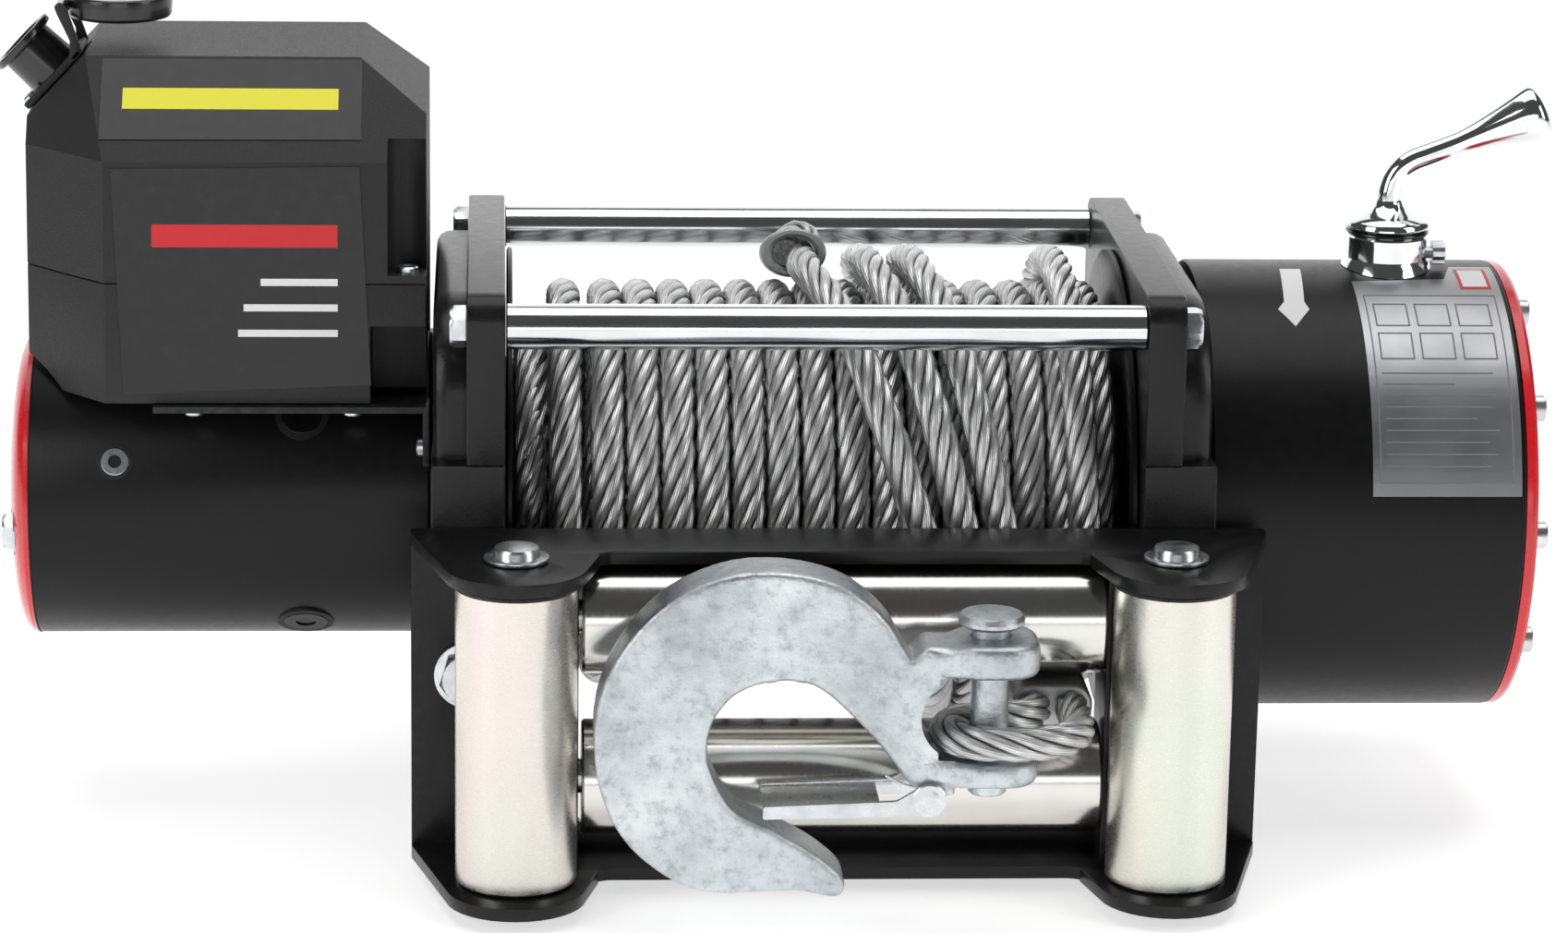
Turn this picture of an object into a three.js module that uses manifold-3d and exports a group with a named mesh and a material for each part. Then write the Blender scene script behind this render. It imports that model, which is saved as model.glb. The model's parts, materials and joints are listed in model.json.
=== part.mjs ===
// Electric recovery winch, foot mounted, with control box, wire rope,
// four-way roller fairlead and clevis slip hook. Millimetres, +Z up.
// Origin: centre of the four foot bolts, on the plane the feet stand on.
// +X runs along the drum from the motor to the gearbox; -Y is the rope side.
import * as THREE from 'three';
import { mergeVertices } from 'three/addons/utils/BufferGeometryUtils.js';
import { ConvexGeometry } from 'three/addons/geometries/ConvexGeometry.js';
import Module from 'manifold-3d';

const wasm = await Module();
wasm.setup();

// ---------------------------------------------------------------- dimensions
const AX = 88;                 // drum axis above the feet
const GAP = 0.3;               // gap between pieces that touch
const BOLT_X = 127, BOLT_Y = 57.15;      // 254 x 114.3 foot bolt pattern, M12
const M12_R = 6.75;
const PLATE_IN = 112, PLATE_WEB = 125.5, PLATE_OUT = 137.6;
const PLATE_Y = 93, PLATE_TOP = AX + 90, FOOT_TOP = AX + 30;
const BAR_Y = 84, BAR_Z = AX + 78, BAR_R = 8;
const MOTOR_R = 55.2, MOTOR_X0 = -281, GEAR_R = 82.5, GEAR_X1 = 251;
const ROPE_D = 12, ROPE_R = 6, BARREL_R = 44.45, PITCH = 12.5;
const WIND_X0 = -109.0, CREST_R = 74.6, OUTER_R = 81.9;
const FL_X = 5, FL_HALF = 150, FL_Y0 = -93.4, FL_T = 4.6;   // fairlead
const FL_TOP = AX + 8, FL_BOT = AX - 111.5;
const VR_DX = 113.3, VR_Y = -135, VR_R = 21, HR_Y = -114, HR_R = 20;
const HR_ZU = AX - 17.8, HR_ZL = AX - 76.2, HR_HALF = 90.5;
const ROPE_Z = AX - 46;      // height of the rope through the fairlead
const PIN_X = 52.5, HOOK_Y = -158, PIN_R = 6.6;             // clevis pin

// ------------------------------------------------------------------- helpers
const V3 = (x, y, z) => new THREE.Vector3(x, y, z);
function solid(g) {
  g = g.clone();
  for (const k of Object.keys(g.attributes)) if (k !== 'position') g.deleteAttribute(k);
  if (g.index === null || true) g = mergeVertices(g, 1e-4);
  return new wasm.Manifold(new wasm.Mesh({
    numProp: 3,
    vertProperties: Float32Array.from(g.attributes.position.array),
    triVerts: Uint32Array.from(g.index.array),
  }));
}
function toGeo(m) {
  const k = m.getMesh();
  const g = new THREE.BufferGeometry();
  g.setAttribute('position', new THREE.BufferAttribute(Float32Array.from(k.vertProperties), 3));
  g.setIndex(new THREE.BufferAttribute(Uint32Array.from(k.triVerts), 1));
  g.computeVertexNormals();
  return g;
}
const cat = (...s) => s.reduce((a, b) => a.add(b));
const cut = (a, ...s) => s.reduce((x, y) => x.subtract(y), a);
const box = (x0, x1, y0, y1, z0, z1) => solid(new THREE.BoxGeometry(x1 - x0, y1 - y0, z1 - z0)
  .translate((x0 + x1) / 2, (y0 + y1) / 2, (z0 + z1) / 2));
// cylinder with its axis along X, Y or Z, from a to b; (p, q) are the other two coordinates
function cylG(axis, r0, r1, a, b, p, q, seg = 32, spin = 0) {
  const g = new THREE.CylinderGeometry(r1, r0, b - a, seg, 1);
  g.rotateY(spin);
  if (axis === 'x') { g.rotateZ(-Math.PI / 2); g.translate((a + b) / 2, p, q); }
  if (axis === 'y') { g.translate(p, (a + b) / 2, q); }
  if (axis === 'z') { g.rotateX(Math.PI / 2); g.translate(p, q, (a + b) / 2); }
  return g;
}
const cyl = (axis, r, a, b, p, q, seg = 24, spin = 0) => solid(cylG(axis, r, r, a, b, p, q, seg, spin));
const cone = (axis, r0, r1, a, b, p, q, seg = 32) => solid(cylG(axis, r0, r1, a, b, p, q, seg));
// lathe about the X axis through (0, AX), or about a vertical axis; pts are [radius, along]
function latheX(pts, seg = 28, y = 0, z = AX) {
  const g = new THREE.LatheGeometry(pts.map(([r, a]) => new THREE.Vector2(r, a)), seg);
  g.rotateZ(-Math.PI / 2); g.translate(0, y, z);
  return fix(solid(g), g);
}
function latheZ(pts, x, y, seg = 20) {
  const g = new THREE.LatheGeometry(pts.map(([r, a]) => new THREE.Vector2(r, a)), seg);
  g.rotateX(Math.PI / 2); g.translate(x, y, 0);
  return fix(solid(g), g);
}
// a lathe profile may run either way round: turn the faces out if its volume is negative
function fix(m, g) {
  const v = m.volume ? m.volume() : m.getProperties().volume;
  if (v > 0) return m;
  const h = mergeVertices((() => { const c = g.clone(); c.deleteAttribute('normal'); c.deleteAttribute('uv'); return c; })(), 1e-4);
  const idx = h.index.array;
  for (let i = 0; i < idx.length; i += 3) { const t = idx[i]; idx[i] = idx[i + 1]; idx[i + 1] = t; }
  return new wasm.Manifold(new wasm.Mesh({ numProp: 3, vertProperties: Float32Array.from(h.attributes.position.array), triVerts: Uint32Array.from(idx) }));
}
const path2 = (pts, C = THREE.Path) => { const p = new C(); pts.forEach(([a, b], i) => i ? p.lineTo(a, b) : p.moveTo(a, b)); p.closePath(); return p; };
const circ = (a, b, r, n = 24) => Array.from({ length: n }, (_, i) => [a + r * Math.cos(2 * Math.PI * i / n), b + r * Math.sin(2 * Math.PI * i / n)]);
// prism of an outline: plane 'yz' runs along X, 'xz' along Y, 'xy' along Z
function prism(plane, pts, a, b, holes = []) {
  const s = path2(pts, THREE.Shape);
  s.holes = holes.map((h) => path2(h));
  const g = new THREE.ExtrudeGeometry(s, { depth: b - a, bevelEnabled: false, steps: 1 });
  const m = new THREE.Matrix4();
  if (plane === 'yz') m.set(0, 0, 1, a, 1, 0, 0, 0, 0, 1, 0, 0, 0, 0, 0, 1);
  if (plane === 'xz') m.set(1, 0, 0, 0, 0, 0, -1, b, 0, 1, 0, 0, 0, 0, 0, 1);
  if (plane === 'xy') m.set(1, 0, 0, 0, 0, 1, 0, 0, 0, 0, 1, a, 0, 0, 0, 1);
  g.applyMatrix4(m);
  return solid(g);
}
// round the corners of an outline: pts are [a, b, radius]
function rounded(pts, n = 4) {
  const out = [];
  const N = pts.length;
  for (let i = 0; i < N; i++) {
    const [x, y, r = 0] = pts[i];
    if (!r) { out.push([x, y]); continue; }
    const P = new THREE.Vector2(x, y), A = new THREE.Vector2(...pts[(i + N - 1) % N]), B = new THREE.Vector2(...pts[(i + 1) % N]);
    const u = A.sub(P).normalize(), v = B.sub(P).normalize();
    const half = Math.acos(THREE.MathUtils.clamp(u.dot(v), -1, 1)) / 2;
    const d = r / Math.tan(half);
    const p0 = P.clone().addScaledVector(u, d), p1 = P.clone().addScaledVector(v, d);
    for (let k = 0; k <= n; k++) {
      const t = k / n;
      const q0 = p0.clone().lerp(P, t), q1 = P.clone().lerp(p1, t);
      const bez = q0.lerp(q1, t);
      out.push([bez.x, bez.y]);
    }
  }
  return out;
}
// round tube along a list of points
function tube(points, r, sides = 10, steps = 40, closed = false) {
  const curve = new THREE.CatmullRomCurve3(points, closed, 'centripetal');
  const sh = path2(circ(0, 0, r, sides), THREE.Shape);
  return solid(new THREE.ExtrudeGeometry(sh, { steps, extrudePath: curve, bevelEnabled: false }));
}
const parts = new THREE.Group();
const COL = {
  black: ['#121214', 0.42, 0.6], plastic: ['#1b1b1d', 0.62, 0.0], chrome: ['#dfe1e3', 0.12, 1.0],
  zinc: ['#c6cdd0', 0.35, 0.9], steel: ['#a9aaa8', 0.3, 0.95], red: ['#c5161f', 0.3, 0.3],
  rope: ['#9a9b98', 0.4, 0.9], rubber: ['#141414', 0.8, 0], brass: ['#b08b4a', 0.35, 0.9],
  copper: ['#b0643c', 0.4, 0.8], nickel: ['#cfc9b8', 0.22, 1.0],
};
function add(name, m, key) {
  const [c, r, k] = COL[key];
  const mesh = new THREE.Mesh(m.isBufferGeometry ? m : toGeo(m), new THREE.MeshStandardMaterial({ color: c, roughness: r, metalness: k }));
  mesh.name = name;
  parts.add(mesh);
}
const hexHead = (axis, af, a, b, p, q, spin = 0) => cyl(axis, af / Math.sqrt(3), a, b, p, q, 6, spin);

// ---------------------------------------------------------------- end plates
// Arched cast plate: a web, a thicker inset boss that carries the motor or
// gearbox, and a full-width foot block with T-slots for the M12 foot bolts.
function endPlate(side) {
  const s = side;                                     // -1 motor side, +1 gearbox side
  const X = (a, b) => s > 0 ? [a, b] : [-b, -a];
  const web = prism('yz', rounded([[-PLATE_Y, 20, 0], [PLATE_Y, 20, 0], [PLATE_Y, PLATE_TOP, 9], [-PLATE_Y, PLATE_TOP, 9]]), ...X(PLATE_IN, PLATE_WEB));
  const boss = prism('yz', rounded([[-83, 40, 0], [83, 40, 0], [83, FOOT_TOP + 8, 0], [83, AX + 83, 44], [-83, AX + 83, 44], [-83, FOOT_TOP + 8, 0]], 6), ...X(PLATE_WEB - 2, PLATE_OUT));
  const foot = prism('yz', [[-PLATE_Y, 0], [-24, 0], [-16, 9], [16, 9], [24, 0], [PLATE_Y, 0], [PLATE_Y, FOOT_TOP], [-PLATE_Y, FOOT_TOP]], ...X(PLATE_IN, PLATE_OUT + 0.4));
  const c = [];
  c.push(cyl('x', 52, ...X(PLATE_IN - 2, PLATE_IN + 12), 0, AX, 48));          // drum bushing seat
  c.push(cyl('x', 28.6, ...X(PLATE_IN, PLATE_OUT + 3), 0, AX, 32));              // shaft way
  for (const y of [-BAR_Y, BAR_Y]) c.push(cyl('x', 5.4, ...X(PLATE_IN - 2, PLATE_WEB + 6), y, BAR_Z, 16, 0.11));
  for (const y of [-BOLT_Y, BOLT_Y]) {
    c.push(cyl('z', M12_R, -2, 20, s * BOLT_X, y, 20));
    c.push(box(...X(PLATE_IN + 5, PLATE_OUT + 5), y - 10, y + 10, 17, 29));
  }
  c.push(cyl('y', 6.4, -PLATE_Y - 2, -PLATE_Y + 22, s * 124.9, 44, 18, 0.13));         // fairlead bolt hole
  return cut(cat(web, boss, foot), ...c);
}
add('end_plate_motor_side', endPlate(-1), 'black');
add('end_plate_gearbox_side', endPlate(1), 'black');

// ------------------------------------------------------------------ tie bars
const inner = PLATE_IN - GAP;
for (const [n, y] of [['front', -BAR_Y], ['rear', BAR_Y]]) {
  const bar = latheX([[0, -inner + 16], [4.6, -inner + 16], [4.6, -inner], [BAR_R, -inner], [BAR_R, inner], [4.6, inner], [4.6, inner - 16], [0, inner - 16]], 20, y, BAR_Z);
  add(`tie_bar_${n}`, bar, 'chrome');
  for (const s of [-1, 1]) {
    const X = (a, b) => s > 0 ? [a, b] : [-b, -a];
    const bolt = cat(hexHead('x', 13, ...X(PLATE_WEB + GAP, PLATE_WEB + 6), y, BAR_Z, 0.3), cyl('x', 4.2, ...X(inner - 14, PLATE_WEB + 2), y, BAR_Z, 12));
    add(`tie_bar_bolt_${n}_${s < 0 ? 'left' : 'right'}`, bolt, 'zinc');
  }
}

// ------------------------------------------------------- drum and drum bushes
const JR = 46;                                          // drum journal radius
add('drum', latheX([[37, -123], [JR, -123], [JR, -111.4], [86, -111.4], [86, -109.4], [BARREL_R, -109.4], [BARREL_R, 109.2], [86, 109.2], [86, 111.4], [JR, 111.4], [JR, 123], [37, 123], [37, -123]], 32), 'black');
for (const s of [-1, 1]) add(`drum_bushing_${s < 0 ? 'left' : 'right'}`, latheX([[JR + GAP, s * 112.3], [51.7, s * 112.3], [51.7, s * 123.6], [JR + GAP, s * 123.6], [JR + GAP, s * 112.3]], 32), 'brass');

// ------------------------------------------------------------- wound wire rope
{
  const prof = [[BARREL_R + 1.6, WIND_X0]];
  const turn = (x, r) => prof.push([r - 3.6, x - PITCH / 2 + 0.2], [r, x]);
  turn(-103, 62.8);                                     // first turn, one layer lower
  for (let i = 0; i < 16; i++) turn(i ? -75.7 + (i - 1) * PITCH : -90.7, CREST_R);
  prof.push([CREST_R - 4, 105.4], [BARREL_R + 1.6, 105.4], [BARREL_R + 1.6, WIND_X0]);
  add('rope_winding', latheX(prof, 20), 'rope');
}
const axp = (x, r, deg) => V3(x, -r * Math.cos(deg * Math.PI / 180), AX + r * Math.sin(deg * Math.PI / 180));
// angle 0 is the rope side, 90 the top, 180 the back, 270 the bottom
{
  // three loose outer turns that cross the layer below on a slant
  const pts = [];
  const keys = [];                                      // [degrees run, x]
  const top = [-3.5, 21.3, 38.2], low = [43.8, 56.6, 69.4];
  keys.push([92, -3.6]);
  for (let k = 0; k < 3; k++) {
    if (k) keys.push([110 - 360 * k, top[k] - 3]);
    keys.push([84 - 360 * k, top[k] + (k ? 0 : 1)], [-17 - 360 * k, low[k]], [-60 - 360 * k, low[k] + 1]);
    if (k < 2) keys.push([-150 - 360 * k, (low[k] + top[k + 1]) / 2]);
  }
  keys.push([-130 - 720, 69]);
  for (let i = 0; i < keys.length - 1; i++) {
    const [a0, x0] = keys[i], [a1, x1] = keys[i + 1];
    const n = Math.max(1, Math.round(Math.abs(a1 - a0) / 20));
    for (let j = 0; j < n; j++) pts.push(axp(x0 + (x1 - x0) * j / n, OUTER_R, a0 + (a1 - a0) * j / n));
  }
  pts.push(axp(69, OUTER_R, -850));
  add('rope_outer_turns', tube(pts, 5.9, 6, 60), 'rope');
}
// pressed sleeve and fused rope end lying on the winding
{
  const g = new THREE.CylinderGeometry(9, 9, 14, 18);
  g.scale(1.35, 1, 1);
  g.rotateX(-13 * Math.PI / 180);
  const p = axp(-6, 84.2, 103);
  g.translate(p.x, p.y, p.z);
  add('rope_end_sleeve', solid(g), 'zinc');
}

// -------------------------------------------------------------------- motor
add('motor_housing', cut(
  cyl('x', MOTOR_R, MOTOR_X0, -PLATE_OUT - 0.8, 0, AX, 36),
  cyl('x', MOTOR_R - 5.2, MOTOR_X0 - 1, -146, 0, AX, 32),
  cyl('x', 13, -150, -130, 0, AX, 24)), 'black');
add('motor_end_cover', cut(latheX([[0, -291], [14, -291], [20, -290.2], [42, -288.4], [50, -286.6], [53.6, -284.6], [55.1, -282.6], [55.1, MOTOR_X0 - GAP], [0, MOTOR_X0 - GAP]], 36),
  cyl('x', 9, -300, -286.2, -40, AX - 8, 20), cyl('x', 9, -300, -286.2, 40, AX + 8, 20),
  cyl('x', 3.6, -300, -270, -40, AX - 8, 12), cyl('x', 3.6, -300, -270, 40, AX + 8, 12)), 'red');
for (const [n, y, z] of [['front', -40, AX - 8], ['rear', 40, AX + 8]])
  add(`motor_through_bolt_${n}`, cat(hexHead('x', 12, -291.8, -286.5, y, z, 0.2), cyl('x', 3, -287, -147, y, z, 10)), 'zinc');
add('motor_field_frame', latheX([[36, -262], [MOTOR_R - 5.6, -262], [MOTOR_R - 5.6, -166], [36, -166], [36, -262]], 24).subtract(
  cyl('x', 4.6, -270, -150, -40, AX - 8, 12)).subtract(cyl('x', 4.6, -270, -150, 40, AX + 8, 12)), 'copper');
add('motor_armature', latheX([[0, -280.4], [6, -280.4], [6, -277.5], [17.5, -277.5], [17.5, -266], [9, -266], [9, -256], [33, -256], [33, -172], [9, -172], [9, -150], [5.6, -150], [5.6, -128], [0, -128]], 20), 'copper');

// ------------------------------------------------------------------- gearbox
add('gear_housing', cut(
  cyl('x', GEAR_R, PLATE_OUT + 0.8, GEAR_X1, 0, AX, 44),
  cyl('x', GEAR_R - 5.5, 146, GEAR_X1 + 1, 0, AX, 40),
  cyl('x', 29, 130, 150, 0, AX, 32),
  cyl('z', 10.5, AX + 60, AX + 100, 211.5, 0, 28)), 'black');
const SCREW_R = 73.5;
const screwAt = (deg) => [-SCREW_R * Math.cos(deg * Math.PI / 180), AX + SCREW_R * Math.sin(deg * Math.PI / 180)];
const SCREWS = [72, 36, -36, -72];
add('gear_end_cover', cut(latheX([[0, GEAR_X1 + GAP], [GEAR_R - 0.2, GEAR_X1 + GAP], [GEAR_R - 0.2, 254.4], [GEAR_R - 1.6, 255.8], [20, 255.8], [17, 254.6], [0, 254.6]], 44),
  ...SCREWS.map((d) => cyl('x', 3.1, 240, 260, ...screwAt(d), 12))), 'red');
SCREWS.forEach((d, i) => add(`gear_cover_screw_${i + 1}`, cut(cat(cyl('x', 4.9, 256.1, 260.2, ...screwAt(d), 16), cyl('x', 2.7, 251.8, 257, ...screwAt(d), 10)),
  cyl('x', 2.6, 258, 262, ...screwAt(d), 6)), 'zinc'));

// one planetary stage: sun on the hex drive shaft, three planets, fixed ring
const MOD = 1.9, ZS = 12, ZP = 18, ZR = 48;
const CD = MOD * (ZS + ZP) / 2;                          // 28.5 centre distance
function gearOutline(z, rt, rr, n = 1, phase = 0) {
  const o = [];
  for (let i = 0; i < z; i++) for (const [f, r] of [[-0.32, rr], [-0.14, rt], [0.14, rt], [0.32, rr]]) {
    const a = (i + f) * 2 * Math.PI / z + phase;
    o.push([r * Math.cos(a), r * Math.sin(a)]);
  }
  return o;
}
const RP = MOD * ZP / 2, RS = MOD * ZS / 2, RR = MOD * ZR / 2;
const off = (o, y, z) => o.map(([a, b]) => [a + y, b + z]);
add('drive_shaft', cat(hexHead('x', 11, -127.4, 188, 0, AX), prism('yz', off(gearOutline(ZS, RS - 0.5, RS - 2.6), 0, AX), 156, 180)), 'steel');
add('ring_gear', prism('yz', circ(0, AX, GEAR_R - 6.1, 48), 154, 224, [off(gearOutline(ZR, RR + 2.8, RR + 0.5), 0, AX)]).subtract(
  cyl('z', 5.6, AX + 30, AX + 90, 211.5, 0, 12)), 'steel');
const CARRIER = [90, 210, 330];
add('planet_carrier', cut(cat(
  latheX([[12, 118], [27, 118], [27, 147.5], [42, 147.5], [42, 152.4], [12, 152.4], [12, 118]], 24),
  ...CARRIER.map((d) => cyl('x', 5, 150, 183, CD * Math.cos(d * Math.PI / 180), AX + CD * Math.sin(d * Math.PI / 180), 16)))), 'steel');
CARRIER.forEach((d, i) => {
  const y = CD * Math.cos(d * Math.PI / 180), z = AX + CD * Math.sin(d * Math.PI / 180);
  add(`planet_gear_${i + 1}`, prism('yz', off(gearOutline(ZP, RP - 0.5, RP - 2.6), y, z), 157, 179, [circ(y, z, 5.5, 20)]), 'steel');
});

// -------------------------------------------------------------------- clutch
const CX = 211.5, CZ = AX + GEAR_R;                      // clutch tower on top of the gearbox
add('clutch_base', cut(cat(
  cone('z', 17.6, 14.8, AX + 74, CZ + 3, CX, 0, 32), cyl('z', 14.9, CZ + 1, CZ + 12, CX, 0, 32)),
  cyl('x', GEAR_R + GAP, 150, 260, 0, AX, 56), cyl('z', 9.6, AX + 60, CZ + 20, CX, 0, 28),
  cyl('x', 2.6, CX + 5, CX + 25, -6, CZ + 6, 12)), 'chrome');
add('clutch_seal_ring', latheZ([[9.7, CZ + 12.3], [14.7, CZ + 12.3], [15.2, CZ + 13.1], [14.7, CZ + 13.9], [9.7, CZ + 13.9], [9.7, CZ + 12.3]], CX, 0), 'rubber');
add('clutch_lock_screw', cat(prism('yz', gearOutline(6, 4.5, 3.6).map(([a, b]) => [a - 6, b + CZ + 6]), CX + 15.6, CX + 20.2), cyl('x', 2.2, CX + 10, CX + 17, -6, CZ + 6, 12)), 'zinc');
{
  const cap = latheZ([[0, CZ + 14.2], [14.9, CZ + 14.2], [15.6, CZ + 15.2], [15.2, CZ + 17], [13.4, CZ + 18.2], [6.4, CZ + 21.8], [4.6, CZ + 23.6], [0, CZ + 23.6]], CX, 0, 24);
  const arm = tube([V3(CX, 0, CZ + 22), V3(CX + 0.3, 0, CZ + 28), V3(CX + 2.0, 0, CZ + 34), V3(CX + 6.8, 0, CZ + 39), V3(CX + 15, 0, CZ + 42), V3(CX + 24, 0, CZ + 45.4)], 4.2, 8, 12);
  const dir = new THREE.Vector3(0.927, 0, 0.372).normalize();
  const g = new THREE.LatheGeometry([[0, 0], [4.2, 0], [4.7, 6], [6.0, 13], [8.3, 21], [10.4, 28], [11.1, 31.5], [10.8, 34], [8.6, 36], [4.6, 37], [0, 37.2]].map(([r, a]) => new THREE.Vector2(r, a)), 14);
  g.applyQuaternion(new THREE.Quaternion().setFromUnitVectors(V3(0, 1, 0), dir));
  g.translate(CX + 22, 0, CZ + 44.6);
  const post = cyl('z', 4.2, CZ + 8, CZ + 15, CX, 0, 12);
  add('clutch_lever', cat(cap, arm, fix(solid(g), g), post), 'chrome');
}
add('clutch_plunger', cat(cyl('z', 9.2, AX + 77.4, CZ + 3, CX, 0, 20), cyl('z', 4.8, AX + 73, AX + 78, CX, 0, 12)), 'steel');

// --------------------------------------------------------------- control box
// Two-part moulded housing saddled over the motor.
const BX = { l: -282.5, r: -139.9 };
const Zb = AX + 43.6, Zp = AX + 86, Zk = AX + 128.8, Zt = AX + 160.2;
function boxOuter(t) {                                  // t: inset
  const l = BX.l + t, r = BX.r - t, p = [];
  const ring = (z, yf, chl, yl) => p.push(V3(-253 + t * 0.4, yf + t, z), V3(r, yf + t, z), V3(l, yl + t * 0.4, z), V3(l, 62 - t, z), V3(r, 62 - t, z));
  ring(Zb + (t ? t : 0), -58, 0, -24);
  p.push(V3(-253 + t * 0.4, -50 + t, Zk - t * 0.3), V3(r, -50 + t, Zk - t * 0.3), V3(l, -18 + t, Zk - t * 0.3), V3(l, 61 - t, Zk));
  p.push(V3(l, -10 + t, AX + 137.5 - t), V3(l, 60 - t, AX + 137.5 - t), V3(r, -34 + t, AX + 143.5 - t), V3(r, 60 - t, AX + 143.5 - t));
  for (const x of [-261 + t * 0.6, -163.5 - t * 0.6]) p.push(V3(x, -15 + t * 0.6, Zt - t), V3(x, 60 - t, Zt - t));
  return solid(new ConvexGeometry(p));
}
{
  const outer = boxOuter(0), inn = boxOuter(3);
  const saddle = cyl('x', MOTOR_R + 3.4, -300, -120, 0, AX, 64);
  const notch = box(-159.5, -120, -80, -38, Zb - 5, AX + 71);
  const pillar = cat(box(-153.5, -130, -80, -44, Zp + 3, AX + 136), cyl('z', 7, Zp + 3, AX + 136, -146.5, -44, 20));
  const lower = outer.intersect(box(-300, -100, -100, 100, 0, Zp));
  const upper = outer.intersect(box(-300, -100, -100, 100, Zp + GAP, 400));
  const inLow = inn.intersect(box(-300, -100, -100, 100, AX + 62, 400));
  add('control_box_base', cut(lower, saddle, notch, inLow.subtract(box(-163, -120, -80, -34, 0, AX + 75)), ), 'plastic');
  const pocketWall = cat(box(-156.5, -130, -80, -41, Zp - 3, AX + 139), cyl('z', 10, Zp - 3, AX + 139, -146.5, -44, 20));
  add('control_box_cover', cut(upper, inn.subtract(pocketWall), pillar, cyl('z', 2.4, Zp - 5, Zp + 9, -146.5, -46, 12)), 'plastic');
}
add('contactor', cat(box(-262, -200, -30, 45, AX + 65.5, AX + 108), cyl('z', 4, AX + 107, AX + 117, -245, -12, 12), cyl('z', 4, AX + 107, AX + 117, -217, -12, 12),
  cyl('z', 4, AX + 107, AX + 117, -245, 24, 12), cyl('z', 4, AX + 107, AX + 117, -217, 24, 12)), 'brass');
// sheet bracket: a leg on the end plate with a saddle for the motor, and two wings under the box
add('control_box_bracket', cut(cat(
  prism('yz', rounded([[-62, AX + 41, 0], [-62, AX + 22, 5], [-46, AX + 14, 5], [46, AX + 14, 5], [62, AX + 22, 5], [62, AX + 41, 0], [62, AX + 43.3, 0], [-62, AX + 43.3, 0]]), -141.2, -138.6),
  box(-236, -139, -62, -36, AX + 41, AX + 43.3), box(-236, -139, 36, 62, AX + 41, AX + 43.3),
  cyl('x', MOTOR_R + 2.8, -190, -150, 0, AX, 64).intersect(box(-200, -140, -60, 60, AX + 42, AX + 60))),
  cyl('x', MOTOR_R + 0.5, -300, -130, 0, AX, 64)), 'black');

// remote-control socket on the sloped upper left face, and its tethered weather cap
const SN = new THREE.Vector3(-22.7, 0, 21.5).normalize();
const SB = V3(-272.3, 12, AX + 148.0);                   // centre of the socket on the sloped face
function along(pts, seg = 28) {
  const g = new THREE.LatheGeometry(pts.map(([r, a]) => new THREE.Vector2(r, a)), seg);
  g.applyQuaternion(new THREE.Quaternion().setFromUnitVectors(V3(0, 1, 0), SN));
  g.translate(SB.x, SB.y, SB.z);
  return fix(solid(g), g);
}
const ST = new THREE.Vector3(21.5, 0, 22.7).normalize();  // up the sloped face
const local = (t, n) => [SB.x + ST.x * t + SN.x * n, SB.z + ST.z * t + SN.z * n];
const HINGE = local(20.5, 17.5);
const CAP_OPEN = 226.5;                                  // degrees from shut to the stored open position
const cheekPlate = (y0) => prism('xz', [[10, 0.8], [14.4, 0.8], [22.2, 15.6], [22.4, 18], [21.6, 19.2], [19.6, 19.2], [18.4, 17], [14.4, 7], [10, 3]].map(([t, n]) => local(t, n)), y0, y0 + 2.2);
add('remote_socket', cat(prism('xz', [[-14.2, 0.6], [14.4, 0.6], [14.4, 3.2], [-14.2, 3.2]].map(([t, n]) => local(t, n)), -2.6, 26.6), along([[0, 1], [10.6, 1], [10.6, 3.2], [10.2, 16.0], [12.9, 17.0], [12.9, 19.4], [9.4, 19.4], [9.2, 8], [0, 8]], 20), cheekPlate(-2.6), cheekPlate(24.4)), 'plastic');
{
  const shut = cat(along([[0, 20.0], [14.0, 20.0], [14.0, 14.8], [14.8, 14.2], [18.4, 14.2], [18.9, 16], [18.4, 21.6], [15, 23.0], [0, 23.0]], 24),
    prism('xz', [[15, 15.8], [22.0, 16.2], [22.2, 18.6], [15, 21]].map(([t, n]) => local(t, n)), 7.4, 16.6), cyl('y', 1.7, -0.1, 24.1, ...HINGE, 12));
  const g = toGeo(shut);
  g.translate(-HINGE[0], 0, -HINGE[1]); g.rotateY(CAP_OPEN * Math.PI / 180); g.translate(HINGE[0], 0, HINGE[1]);
  g.computeVertexNormals();
  add('socket_cap', g, 'rubber');
  // console.log('hinge', HINGE);
}

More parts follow.
